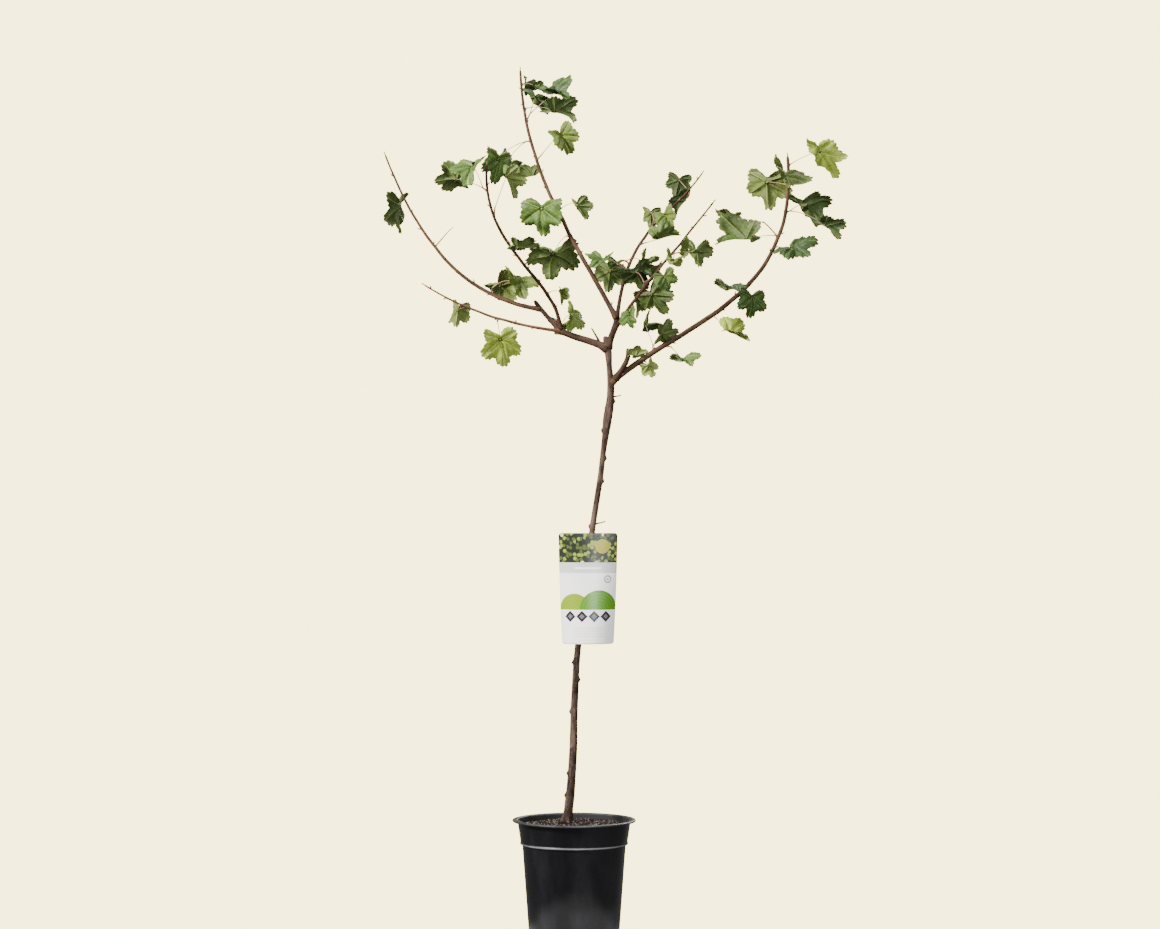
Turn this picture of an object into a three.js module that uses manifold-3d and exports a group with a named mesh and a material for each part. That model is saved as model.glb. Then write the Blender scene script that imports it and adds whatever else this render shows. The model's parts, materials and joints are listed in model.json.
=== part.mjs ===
// A potted standard jostaberry: a clean, slightly leaning stem grafted high up, with a
// small open head of arching boughs and lobed leaves, in a black nursery pot.
// Millimetres, +Z up. The origin is the centre of the pot's flat underside and the
// plant's front faces -Y.
import * as THREE from "three";
import { mergeVertices } from "three/addons/utils/BufferGeometryUtils.js";
import Module from "manifold-3d";

const wasm = await Module();
wasm.setup();

// Clearance between pieces that touch
const GAP = 0.3;

// How far a seam's small edges may be drawn together where pieces are fused
const SEAM_TOLERANCE = 0.1;

// Pot
const POT_HEIGHT = 215;
const POT_WALL = 1.6;
const POT_FLOOR = 2.2;
const POT_FOOT_RADIUS = 81;
const POT_FOOT_ROUND = 3;
const POT_STEP_HEIGHT = 170.5;
const POT_STEP_RADIUS = 93.5;
const POT_STEP_OUT = 2.7;
const POT_COLLAR_RADIUS = 100;
const POT_LIP_RADIUS = 111;
const POT_LIP_THICKNESS = 3.6;
const POT_SIDES = 44;
const DRAIN_SLOTS = 8;
const DRAIN_SIZE = { radial: 14, width: 12, height: 20 };

// Soil
const SOIL_EDGE_HEIGHT = 203;
const SOIL_TOP_HEIGHT = 210.7;
const SOIL_SEAT_RADIUS = 20;
const SOIL_LUMP = 0.6;
const SOIL_WAVES = { count: 5, pace: [0.05, 0.14] };
const SOIL_RINGS = 5;
const SOIL_SIDES = 44;
const SOIL_SEED = 4;

// Stem: its centre's lean toward +X and its radius at each height above the floor
const TRUNK_STATIONS = [
  { height: SOIL_TOP_HEIGHT + GAP, lean: -12.5, radius: 12 },
  { height: 224, lean: -11, radius: 9 },
  { height: 258, lean: -7, radius: 7.8 },
  { height: 340, lean: -1.6, radius: 6.9 },
  { height: 410, lean: 0.2, radius: 6.2 },
  { height: 516, lean: 6, radius: 5.6 },
  { height: 620, lean: 20, radius: 5.3 },
  { height: 748, lean: 34.5, radius: 5.1 },
  { height: 829, lean: 47, radius: 4.9 },
  { height: 880, lean: 53, radius: 4.9 },
  { height: 913, lean: 57.5, radius: 6.6 },
  { height: 931, lean: 59.5, radius: 7.8 },
  { height: 951, lean: 62.5, radius: 8.1 },
  { height: 972, lean: 65, radius: 6.6 },
  { height: 996, lean: 66, radius: 6.3 },
  { height: 1028, lean: 63.5, radius: 4.9 },
  { height: 1058, lean: 61, radius: 6.4 },
  { height: 1070, lean: 58.5, radius: 5.4 },
  { height: 1084, lean: 56, radius: 4.2 },
];
const TRUNK_SIDES = 12;
const TRUNK_STEPS = 40;
const KNOT = { radius: 2.4, tall: 1.5, sunk: 0.4 };
const KNOTS = [
  { height: 258, azimuth: 190 },
  { height: 298, azimuth: 200 },
  { height: 344, azimuth: 235 },
  { height: 409, azimuth: 180 },
  { height: 467, azimuth: 345 },
  { height: 497, azimuth: 175 },
  { height: 560, azimuth: 20 },
  { height: 615, azimuth: 200 },
  { height: 672, azimuth: 350 },
  { height: 742, azimuth: 190 },
  { height: 824, azimuth: 350 },
  { height: 865, azimuth: 5 },
  { height: 914, azimuth: 185 },
  { height: 968, azimuth: 0 },
];
const TRUNK_SNAGS = [
  { height: 744, azimuth: -15, length: 24, radius: 1.6 },
  { height: 972, azimuth: 10, length: 21, radius: 1.5 },
];
const SNAG_SLOPE = 18;
const SNAG_SIDES = 6;
const TWIG_TAPER = 0.8;

// Limbs: each starts on its parent, or on the stem at a height, and swings out by its
// reach and rise toward its azimuth, bending from its leaving slope to its arriving
// slope. Azimuths count from +X toward +Y. Where leaves follow, a bough is bare only
// up to bareTo and the mass of foliage carries its line on.
const LIMBS = [
  { name: "left_main_limb", height: 1061, azimuth: 172, reach: 86, rise: 33,
    slopes: [30, 26], pulls: [0.31, 0.38], radii: [6.4, 5.4], knob: 5.9 },
  { name: "centre_limb", height: 1061, azimuth: 14, reach: 17, rise: 54,
    slopes: [80, 83], pulls: [0.36, 0.37], radii: [5.7, 5.1], knob: 5.8 },
  { name: "right_bough", height: 1000, azimuth: -11, reach: 320, rise: 402,
    slopes: [39, 95], pulls: [0.36, 0.5], radii: [5.2, 2.5], bareTo: 0.5 },
  { name: "short_limb", parent: "right_bough", at: 0.02, azimuth: -40, reach: 28, rise: 54,
    slopes: [48, 108], pulls: [0.35, 0.35], radii: [4.9, 3.8], bareTo: 0.65 },
  { name: "cut_limb", parent: "left_main_limb", at: 1, azimuth: 163, reach: 49, rise: 55,
    slopes: [47, 55], pulls: [0.36, 0.33], radii: [4.3, 3.5] },
  { name: "low_bough", parent: "left_main_limb", at: 1, azimuth: -146, reach: 287, rise: 74,
    slopes: [3, 28], pulls: [0.31, 0.32], radii: [2.9, 1.2], bareTo: 0.42 },
  { name: "left_bough", parent: "cut_limb", at: 0.73, azimuth: 163, reach: 300, rise: 288,
    slopes: [8, 68], pulls: [0.39, 0.36], radii: [3.8, 1.5], bareTo: 0.5 },
  { name: "inner_left_bough", parent: "left_main_limb", at: 1, azimuth: -122, reach: 239,
    rise: 280, slopes: [87, 98], pulls: [0.26, 0.42], radii: [3.3, 1.9], bareTo: 0.58 },
  { name: "leader_bough", parent: "centre_limb", at: 1, azimuth: 137, reach: 242, rise: 469,
    slopes: [54, 87], pulls: [0.41, 0.34], radii: [4.4, 2], bareTo: 0.3 },
  { name: "inner_right_bough", parent: "centre_limb", at: 1, azimuth: 54, reach: 278,
    rise: 285, slopes: [78, 41], pulls: [0.45, 0.42], radii: [3.2, 1.2], bareTo: 0.19 },
  { name: "middle_right_bough", parent: "centre_limb", at: 0.61, azimuth: -54, reach: 289,
    rise: 213, slopes: [42, 37], pulls: [0.36, 0.32], radii: [3.2, 1.2], bareTo: 0.27 },
  { name: "fork_snag", parent: "left_main_limb", at: 0.17, azimuth: 168, reach: 17, rise: 32,
    slopes: [70, 60], pulls: [0.35, 0.35], radii: [1.9, 1.1] },
];
const LIMB_SIDES = 8;
const LIMB_STEP = 26;
const LIMB_STATIONS = 48;
const CARDINAL_LIMIT = 0.9;

// Foliage: sprays of leaves on short spurs. A spray's place on its bough, its number
// of leaves, their usual length and the seed of its draws set the whole spray.
const MASSES = [
  { name: "low_leaves", bough: "low_bough", tint: "bright", sprays: [
    { at: 0.45, leaves: 1, size: 50, seed: 298855 },
    { at: 0.67, leaves: 1, size: 34, seed: 225145 },
  ] },
  { name: "left_spur_leaves", bough: "left_bough", tint: "fresh", sprays: [
    { at: 0.22, leaves: 2, size: 40, seed: 523740 },
  ] },
  { name: "left_leaves", bough: "left_bough", tint: "deep", sprays: [
    { at: 0.55, leaves: 0, size: 10, stretch: 3.6, seed: 5798 },
    { at: 0.81, leaves: 1, size: 46, seed: 196491 },
  ] },
  { name: "inner_left_spur_leaves", bough: "inner_left_bough", tint: "fresh", sprays: [
    { at: 0.24, leaves: 1, size: 22, seed: 214510 },
  ] },
  { name: "inner_left_leaves", bough: "inner_left_bough", tint: "fresh", sprays: [
    { at: 0.63, leaves: 1, size: 34, seed: 97789 },
    { at: 0.77, leaves: 1, size: 42, seed: 45879 },
    { at: 0.89, leaves: 2, size: 42, seed: 1797662 },
  ] },
  { name: "leader_leaves", bough: "leader_bough", tint: "deep", sprays: [
    { at: 0.33, leaves: 1, size: 60, seed: 26643 },
    { at: 0.39, leaves: 1, size: 60, seed: 349498 },
    { at: 0.42, leaves: 1, size: 34, seed: 340147 },
    { at: 0.61, leaves: 1, size: 30, seed: 52657 },
    { at: 0.65, leaves: 1, size: 36, seed: 292847 },
    { at: 0.73, leaves: 2, size: 44, seed: 1213695 },
    { at: 0.81, leaves: 2, size: 44, seed: 725778 },
    { at: 0.84, leaves: 1, size: 44, seed: 263768 },
    { at: 0.95, leaves: 2, size: 26, seed: 1727251 },
  ] },
  { name: "fork_leaves", bough: "left_main_limb", tint: "fresh", sprays: [
    { at: 0.97, leaves: 2, size: 40, seed: 2090535 },
  ] },
  { name: "inner_right_leaves", bough: "inner_right_bough", tint: "fresh", sprays: [
    { at: 0.21, leaves: 2, size: 38, seed: 1251374 },
    { at: 0.24, leaves: 2, size: 38, seed: 1557866 },
    { at: 0.37, leaves: 1, size: 40, seed: 23931 },
    { at: 0.51, leaves: 2, size: 34, seed: 2325386 },
    { at: 0.88, leaves: 2, size: 38, seed: 1798085 },
  ] },
  { name: "middle_right_foot_leaves", bough: "middle_right_bough", tint: "deep", sprays: [
    { at: 0.15, leaves: 1, size: 34, seed: 274232 },
  ] },
  { name: "middle_right_low_leaves", bough: "middle_right_bough", tint: "fresh", sprays: [
    { at: 0.19, leaves: 2, size: 40, seed: 859385 },
  ] },
  { name: "middle_right_leaves", bough: "middle_right_bough", tint: "deep", sprays: [
    { at: 0.3, leaves: 2, size: 48, seed: 48361 },
    { at: 0.45, leaves: 1, size: 34, seed: 279714 },
    { at: 0.58, leaves: 1, size: 40, seed: 335283 },
    { at: 0.61, leaves: 2, size: 36, seed: 918323 },
  ] },
  { name: "right_foot_leaves", bough: "right_bough", tint: "bright", sprays: [
    { at: 0.12, leaves: 1, size: 30, seed: 58336 },
  ] },
  { name: "right_low_leaves", bough: "right_bough", tint: "fresh", sprays: [
    { at: 0.17, leaves: 2, size: 38, seed: 667071 },
  ] },
  { name: "right_elbow_leaves", bough: "right_bough", tint: "deep", sprays: [
    { at: 0.21, leaves: 1, size: 30, seed: 343931 },
  ] },
  { name: "right_middle_leaves", bough: "right_bough", tint: "bright", sprays: [
    { at: 0.4, leaves: 1, size: 40, seed: 297777 },
  ] },
  { name: "right_leaves", bough: "right_bough", tint: "deep", sprays: [
    { at: 0.53, leaves: 2, size: 44, seed: 84620 },
    { at: 0.76, leaves: 1, size: 50, stretch: 2.2, seed: 273894 },
    { at: 0.77, leaves: 1, size: 42, stretch: 2.2, seed: 38655 },
    { at: 0.73, leaves: 1, size: 42, seed: 66547 },
    { at: 0.85, leaves: 2, size: 52, seed: 968903 },
    { at: 0.92, leaves: 2, size: 56, seed: 573550 },
    { at: 0.97, leaves: 1, size: 48, seed: 270350 },
  ] },
  { name: "short_leaves", bough: "short_limb", tint: "fresh", sprays: [
    { at: 0.71, leaves: 1, size: 24, seed: 149117 },
  ] },
];
// The ranges that a spray's draws choose from, lengths in millimetres and turns in radians
const GOLDEN_ANGLE = 137.5;
const SPUR = { length: [4, 18], lean: [0.5, 1.3], radius: 1.3, sides: 4 };
const PETIOLE = {
  length: [14, 62], spread: [0.2, 1.4], sag: [0, 0.6],
  elbow: 0.55, radius: 0.85, sides: 3, sunk: 2, steps: 3,
};
const LEAF = {
  scatter: 0.6, scale: [0.75, 1.25], pitch: [-0.4, 1.5], yaw: 1.2, roll: 0.9,
  fold: [0.1, 1.2], curl: [-0.3, 0.9],
};
const BLADE_SIDES = 16;
const BLADE_THICKNESS = 0.9;
const BLADE_MIDDLE = 0.3;
const STEM_SIDES = 5;
const LEAF_REACH = 130;
const LEAF_CLEARANCE = 1.5;

// Picture label on the stem
const CARD = { width: 107, height: 200, thickness: 1.2, foot: 530, front: -11, centre: 25 };
const CARD_CURL = { foot: 0.95, head: 0.25 };
const CARD_GRID = { across: 10, up: 6 };
const STRAP = { height: 702, tall: 12, thickness: 1.4, slack: 1.2, bridge: 9, sides: 24 };

// Colours
const FINISHES = {
  pot: { color: 0x1d1d1f, roughness: 0.45 },
  soil: { color: 0x3a2c20, roughness: 1 },
  bark: { color: 0x6a5242, roughness: 0.9 },
  card: { color: 0xd9dcd6, roughness: 0.6 },
  bright: { color: 0x8aa648, roughness: 0.6 },
  fresh: { color: 0x5d8238, roughness: 0.6 },
  deep: { color: 0x2f4a22, roughness: 0.6 },
};

// Draws between 0 and 1 that follow from a seed
function drawsFrom(seed) {
  let state = seed >>> 0;
  return () => {
    state = (state + 0x6d2b79f5) >>> 0;
    let t = state;
    t = Math.imul(t ^ (t >>> 15), t | 1);
    t ^= t + Math.imul(t ^ (t >>> 7), t | 61);
    return ((t ^ (t >>> 14)) >>> 0) / 4294967296;
  };
}

function between(draw, [low, high]) {
  return low + (high - low) * draw();
}

function around(draw, reach) {
  return (2 * draw() - 1) * reach;
}

// Move every vertex of a geometry to the place a rule gives it
function reshape(geometry, place) {
  const position = geometry.attributes.position;
  const vertex = new THREE.Vector3();
  for (let i = 0; i < position.count; i += 1) {
    vertex.fromBufferAttribute(position, i);
    const moved = place(vertex);
    position.setXYZ(i, moved.x, moved.y, moved.z);
  }
  return geometry;
}

// A closed geometry as a solid, without the empty triangles at a turned shape's axis
function solidFrom(geometry) {
  geometry.deleteAttribute("normal");
  geometry.deleteAttribute("uv");
  const merged = mergeVertices(geometry, 1e-4);
  const corners = merged.index.array;
  const kept = [];
  for (let i = 0; i < corners.length; i += 3) {
    const [a, b, c] = [corners[i], corners[i + 1], corners[i + 2]];
    if (a !== b && b !== c && c !== a) kept.push(a, b, c);
  }
  const vertProperties = new Float32Array(merged.attributes.position.array);
  const triVerts = new Uint32Array(kept);
  return new wasm.Manifold(new wasm.Mesh({ numProp: 3, vertProperties, triVerts }));
}

// The one body that counts, without loose scraps and sealed hollows
function largestPiece(solid) {
  const pieces = solid.decompose();
  pieces.sort((a, b) => b.volume() - a.volume());
  return pieces[0];
}

function meshFrom(name, solid, finish) {
  const { vertProperties, triVerts } = solid.getMesh();
  const geometry = new THREE.BufferGeometry();
  geometry.setAttribute("position", new THREE.BufferAttribute(vertProperties, 3));
  geometry.setIndex(new THREE.BufferAttribute(triVerts, 1));
  const material = new THREE.MeshStandardMaterial({ ...FINISHES[finish], metalness: 0 });
  const mesh = new THREE.Mesh(geometry, material);
  mesh.name = name;
  return mesh;
}

// Ring directions along a row of centres, turned as little as possible from ring to ring
function framesAlong(centres) {
  let across = null;
  return centres.map((centre, i) => {
    const before = centres[Math.max(i - 1, 0)];
    const after = centres[Math.min(i + 1, centres.length - 1)];
    const along = after.clone().sub(before).normalize();
    across ??= Math.abs(along.x) > CARDINAL_LIMIT ? new THREE.Vector3(0, 1, 0) : new THREE.Vector3(1, 0, 0);
    across = across.clone().addScaledVector(along, -across.dot(along)).normalize();
    return { across, up: across.clone().cross(along) };
  });
}

// A closed tube with a radius at each of its centres
function tubeThrough(centres, radii, sides) {
  const steps = centres.length - 1;
  const frames = framesAlong(centres);
  const tube = new THREE.CylinderGeometry(1, 1, 1, sides, steps);
  reshape(tube, (vertex) => {
    const ring = Math.round((vertex.y + 0.5) * steps);
    return centres[ring].clone()
      .addScaledVector(frames[ring].across, vertex.x * radii[ring])
      .addScaledVector(frames[ring].up, vertex.z * radii[ring]);
  });
  return solidFrom(tube);
}

function compass(azimuth, slope) {
  const turn = THREE.MathUtils.degToRad(azimuth);
  const climb = THREE.MathUtils.degToRad(slope);
  return new THREE.Vector3(
    Math.cos(climb) * Math.cos(turn),
    Math.cos(climb) * Math.sin(turn),
    Math.sin(climb),
  );
}

function makePot() {
  const collarFoot = POT_STEP_HEIGHT + 2;
  const lipUnder = POT_HEIGHT - POT_LIP_THICKNESS;
  const stepOut = POT_STEP_RADIUS + POT_STEP_OUT;
  const profile = [
    [0, 0],
    [POT_FOOT_RADIUS - POT_FOOT_ROUND, 0],
    [POT_FOOT_RADIUS - POT_FOOT_ROUND / 4, POT_FOOT_ROUND / 4],
    [POT_FOOT_RADIUS, POT_FOOT_ROUND],
    [POT_STEP_RADIUS, POT_STEP_HEIGHT],
    [stepOut, collarFoot],
    [POT_COLLAR_RADIUS, lipUnder - 1],
    [POT_COLLAR_RADIUS + 1.5, lipUnder],
    [POT_LIP_RADIUS - 1, lipUnder - 0.6],
    [POT_LIP_RADIUS, lipUnder + 0.4],
    [POT_LIP_RADIUS, POT_HEIGHT - 1],
    [POT_LIP_RADIUS - 1.2, POT_HEIGHT],
    [POT_COLLAR_RADIUS, POT_HEIGHT],
    [POT_COLLAR_RADIUS - POT_WALL, lipUnder],
    [stepOut - POT_WALL, collarFoot + 1],
    [POT_STEP_RADIUS - POT_WALL, POT_STEP_HEIGHT + 1],
    [POT_FOOT_RADIUS - POT_WALL, POT_FLOOR],
    [0, POT_FLOOR],
  ].map(([radius, height]) => new THREE.Vector2(radius, height));
  const shell = new THREE.LatheGeometry(profile, POT_SIDES).rotateX(Math.PI / 2);
  let pot = solidFrom(shell);
  for (let i = 0; i < DRAIN_SLOTS; i += 1) {
    const turn = ((i + 0.5) * 2 * Math.PI) / DRAIN_SLOTS;
    const slot = new THREE.BoxGeometry(DRAIN_SIZE.radial, DRAIN_SIZE.width, 2 * DRAIN_SIZE.height);
    slot.translate(POT_FOOT_RADIUS, 0, 0).rotateZ(turn);
    pot = pot.subtract(solidFrom(slot));
  }
  return largestPiece(pot);
}

function makeSoil() {
  const inset = POT_WALL + GAP;
  const footHeight = POT_FLOOR + GAP;
  const collarFoot = POT_STEP_HEIGHT + 4;
  const edgeRadius = POT_COLLAR_RADIUS - inset - 1.2;
  const profile = [
    [0, footHeight],
    [POT_FOOT_RADIUS - inset, footHeight],
    [POT_STEP_RADIUS - inset, POT_STEP_HEIGHT + 1],
    [POT_STEP_RADIUS + POT_STEP_OUT - inset, collarFoot],
    [edgeRadius, SOIL_EDGE_HEIGHT],
  ];
  for (let i = 1; i <= SOIL_RINGS; i += 1) {
    const inward = i / SOIL_RINGS;
    const radius = THREE.MathUtils.lerp(edgeRadius, SOIL_SEAT_RADIUS, inward);
    const dome = Math.sin((inward * Math.PI) / 2);
    profile.push([radius, THREE.MathUtils.lerp(SOIL_EDGE_HEIGHT, SOIL_TOP_HEIGHT, dome)]);
  }
  profile.push([0, SOIL_TOP_HEIGHT]);
  const points = profile.map(([radius, height]) => new THREE.Vector2(radius, height));
  const plug = new THREE.LatheGeometry(points, SOIL_SIDES).rotateX(Math.PI / 2);
  const draw = drawsFrom(SOIL_SEED);
  const waves = Array.from({ length: SOIL_WAVES.count }, () => ({
    turn: 2 * Math.PI * draw(),
    pace: between(draw, SOIL_WAVES.pace),
    shift: 2 * Math.PI * draw(),
  }));
  reshape(plug, (vertex) => {
    const radius = Math.hypot(vertex.x, vertex.y);
    const onTop = vertex.z > SOIL_EDGE_HEIGHT + 0.5 && radius > SOIL_SEAT_RADIUS + 1;
    if (!onTop) return vertex;
    const swell = waves.reduce((sum, wave) => {
      const reach = vertex.x * Math.cos(wave.turn) + vertex.y * Math.sin(wave.turn);
      return sum + Math.sin(reach * wave.pace + wave.shift);
    }, 0);
    return vertex.setZ(vertex.z + SOIL_LUMP * swell);
  });
  return solidFrom(plug);
}

// Centre, radius and height of the stem's rings, the radius carried as the curve's y
const trunkCurve = new THREE.CatmullRomCurve3(
  TRUNK_STATIONS.map(({ height, lean, radius }) => new THREE.Vector3(lean, radius, height)),
  false,
  "centripetal",
);
const trunkRings = trunkCurve.getPoints(TRUNK_STEPS);

function trunkAt(height) {
  const above = trunkRings.findIndex((ring) => ring.z >= height);
  const high = trunkRings[Math.max(above, 1)];
  const low = trunkRings[Math.max(above, 1) - 1];
  const part = (height - low.z) / (high.z - low.z);
  return {
    centre: new THREE.Vector3(THREE.MathUtils.lerp(low.x, high.x, part), 0, height),
    radius: THREE.MathUtils.lerp(low.y, high.y, part),
  };
}

function trunkTube(extra) {
  const tube = new THREE.CylinderGeometry(1, 1, 1, TRUNK_SIDES, TRUNK_STEPS);
  tube.rotateX(Math.PI / 2);
  reshape(tube, (vertex) => {
    const step = Math.round((vertex.z + 0.5) * TRUNK_STEPS);
    const ring = trunkRings[step];
    const radius = ring.y + extra;
    const lift = step === TRUNK_STEPS ? extra : 0;
    return new THREE.Vector3(ring.x + vertex.x * radius, vertex.y * radius, ring.z + lift);
  });
  return solidFrom(tube);
}

function makeTrunk() {
  const parts = [trunkTube(0)];
  for (const { height, azimuth } of KNOTS) {
    const { centre, radius } = trunkAt(height);
    const knot = new THREE.OctahedronGeometry(KNOT.radius).scale(1, 1, KNOT.tall);
    const seat = centre.addScaledVector(compass(azimuth, 0), radius - KNOT.sunk);
    parts.push(solidFrom(knot.translate(seat.x, seat.y, seat.z)));
  }
  for (const snag of TRUNK_SNAGS) {
    const { centre } = trunkAt(snag.height);
    const tip = centre.clone().addScaledVector(compass(snag.azimuth, SNAG_SLOPE), snag.length);
    parts.push(tubeThrough([centre, tip], [snag.radius, snag.radius * TWIG_TAPER], SNAG_SIDES));
  }
  return largestPiece(wasm.Manifold.union(parts));
}

// The line of a limb, as a cubic curve
function limbCurve(limb, start) {
  const chord = Math.hypot(limb.reach, limb.rise);
  const end = start.clone().addScaledVector(compass(limb.azimuth, 0), limb.reach);
  end.z += limb.rise;
  const leave = compass(limb.azimuth, limb.slopes[0]).multiplyScalar(chord * limb.pulls[0]);
  const arrive = compass(limb.azimuth, limb.slopes[1]).multiplyScalar(chord * limb.pulls[1]);
  return new THREE.CubicBezierCurve3(start, start.clone().add(leave), end.clone().sub(arrive), end);
}

const limbCurves = new Map();
for (const limb of LIMBS) {
  const parent = limbCurves.get(limb.parent);
  const start = parent ? parent.getPoint(limb.at) : trunkAt(limb.height).centre;
  limbCurves.set(limb.name, limbCurve(limb, start));
}

function limbRadius(limb, at) {
  return THREE.MathUtils.lerp(limb.radii[0], limb.radii[1], at);
}

// A stretch of a limb as a tube, made fatter and longer by extra
function limbTube(limb, from, to, sides, extra) {
  const curve = limbCurves.get(limb.name);
  const steps = Math.max(Math.round((curve.getLength() * (to - from)) / LIMB_STEP), 3);
  const centres = [];
  const radii = [];
  for (let i = 0; i <= steps; i += 1) {
    const at = THREE.MathUtils.lerp(from, to, i / steps);
    centres.push(curve.getPoint(at));
    radii.push(limbRadius(limb, at) + extra);
  }
  centres[0].addScaledVector(curve.getTangent(from), -extra);
  centres[steps].addScaledVector(curve.getTangent(to), extra);
  return tubeThrough(centres, radii, sides);
}

function limbSolid(limb, extra) {
  const tube = limbTube(limb, 0, limb.bareTo ?? 1, LIMB_SIDES, extra);
  if (!limb.knob) return tube;
  const { x, y, z } = limbCurves.get(limb.name).getPoint(1);
  const knob = new THREE.OctahedronGeometry(limb.knob + extra, 1).translate(x, y, z);
  return tube.add(solidFrom(knob));
}

// Centres and radii all along the limbs, for keeping leaves off them
const limbStations = LIMBS.flatMap((limb) => {
  const centres = limbCurves.get(limb.name).getPoints(LIMB_STATIONS);
  return centres.map((centre, i) => ({ centre, radius: limbRadius(limb, i / LIMB_STATIONS) }));
});

function touchesLimb(points) {
  return points.some((point) => limbStations.some(
    ({ centre, radius }) => point.distanceTo(centre) < radius + LEAF_CLEARANCE,
  ));
}

// Two directions square to a third
function sideAxes(along) {
  const reference = new THREE.Vector3(0, 0, 1);
  if (Math.abs(along.z) > CARDINAL_LIMIT) reference.set(1, 0, 0);
  const first = along.clone().cross(reference).normalize();
  return [first, along.clone().cross(first)];
}

// A direction that leaves an axis by an angle, toward a turn about it
function leaning(axis, turn, angle) {
  const [first, second] = sideAxes(axis);
  return axis.clone().multiplyScalar(Math.cos(angle))
    .addScaledVector(first, Math.sin(angle) * Math.cos(turn))
    .addScaledVector(second, Math.sin(angle) * Math.sin(turn));
}

// How far the lobed outline lies from the stalk, as a part of the leaf's length
function lobedOutline(turn) {
  const hand = 0.14 + 0.86 * ((1 + Math.cos(turn)) / 2) ** 0.6;
  const lobes = 1 - 0.13 * (1 - Math.cos(8 * turn));
  return hand * lobes * (1 + 0.03 * Math.cos(16 * turn));
}

// Everything about one leaf that its draws decide
function drawLeaf(draw, index, spray, axis, spurEnd, phase) {
  const turn = phase + index * THREE.MathUtils.degToRad(GOLDEN_ANGLE) + around(draw, LEAF.scatter);
  const out = leaning(axis, turn, between(draw, PETIOLE.spread));
  const reach = between(draw, PETIOLE.length);
  const sag = between(draw, PETIOLE.sag);
  const size = spray.size * between(draw, LEAF.scale);
  const pitch = between(draw, LEAF.pitch);
  const bend = spurEnd.clone().addScaledVector(out, PETIOLE.elbow * reach);
  const base = spurEnd.clone().addScaledVector(out, reach);
  base.z -= reach * sag;
  const heading = Math.atan2(base.y - bend.y, base.x - bend.x) + around(draw, LEAF.yaw);
  const roll = around(draw, LEAF.roll);
  const along = compass(THREE.MathUtils.radToDeg(heading), -THREE.MathUtils.radToDeg(pitch));
  const level = new THREE.Vector3(-Math.sin(heading), Math.cos(heading), 0);
  const side = level.applyAxisAngle(along, roll);
  return {
    bend, base, size, along, side,
    face: along.clone().cross(side),
    fold: between(draw, LEAF.fold),
    curl: between(draw, LEAF.curl) / size,
  };
}

// A point of the leaf, given in its flat blade's length, width and depth
function onBlade(leaf, x, y, depth) {
  const half = Math.sign(y);
  const crease = half === 0 ? 1 / Math.cos(leaf.fold) : Math.cos(leaf.fold);
  const lift = Math.abs(y) * Math.sin(leaf.fold) + depth * crease;
  const spread = y * Math.cos(leaf.fold) - depth * half * Math.sin(leaf.fold);
  const bow = leaf.curl * x;
  const length = Math.abs(bow) < 1e-6 ? x : Math.sin(bow) / leaf.curl;
  const drop = Math.abs(bow) < 1e-6 ? 0 : (1 - Math.cos(bow)) / leaf.curl;
  return leaf.base.clone()
    .addScaledVector(leaf.along, length + lift * Math.sin(bow))
    .addScaledVector(leaf.side, spread)
    .addScaledVector(leaf.face, lift * Math.cos(bow) - drop);
}

function bladeSolid(leaf) {
  const blade = new THREE.CylinderGeometry(1, 1, 1, BLADE_SIDES, 1);
  reshape(blade, (vertex) => {
    const depth = vertex.y * BLADE_THICKNESS;
    const atMiddle = Math.hypot(vertex.x, vertex.z) < 0.5;
    if (atMiddle) return onBlade(leaf, leaf.size * BLADE_MIDDLE, 0, depth);
    const turn = Math.atan2(vertex.x, vertex.z);
    const reach = leaf.size * lobedOutline(turn);
    const width = Math.abs(Math.sin(turn)) < 1e-6 ? 0 : reach * Math.sin(turn);
    return onBlade(leaf, reach * Math.cos(turn), width, depth);
  });
  return solidFrom(blade);
}

function petioleSolid(leaf, axis, spurEnd) {
  const sweep = new THREE.QuadraticBezierCurve3(spurEnd, leaf.bend, leaf.base);
  const centres = sweep.getPoints(PETIOLE.steps);
  centres[0].addScaledVector(axis, -PETIOLE.sunk);
  centres.push(leaf.base.clone().addScaledVector(leaf.along, PETIOLE.sunk));
  return tubeThrough(centres, centres.map(() => PETIOLE.radius), PETIOLE.sides);
}

function rimOf(leaf) {
  const rim = [leaf.base];
  for (let i = 0; i < BLADE_SIDES; i += 1) {
    const turn = (2 * Math.PI * i) / BLADE_SIDES;
    const reach = leaf.size * lobedOutline(turn);
    rim.push(onBlade(leaf, reach * Math.cos(turn), reach * Math.sin(turn), 0));
  }
  return rim;
}

// One spur with its leaves, leaving out any leaf that strays or touches a limb
function spraySolids(spray, foot, tangent) {
  const draw = drawsFrom(spray.seed);
  const phase = 2 * Math.PI * draw();
  const length = between(draw, SPUR.length) * (spray.stretch ?? 1);
  const axis = leaning(tangent, phase, between(draw, SPUR.lean));
  const spurEnd = foot.clone().addScaledVector(axis, length);
  const spurTip = spurEnd.clone().addScaledVector(axis, 1);
  const solids = [tubeThrough([foot, spurTip], [SPUR.radius, SPUR.radius * TWIG_TAPER], SPUR.sides)];
  for (let i = 0; i < spray.leaves; i += 1) {
    const leaf = drawLeaf(draw, i, spray, axis, spurEnd, phase);
    const rim = rimOf(leaf);
    const strays = rim.some((point) => point.distanceTo(foot) > LEAF_REACH);
    if (strays || touchesLimb(rim)) continue;
    solids.push(petioleSolid(leaf, axis, spurEnd), bladeSolid(leaf));
  }
  return solids;
}

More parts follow.
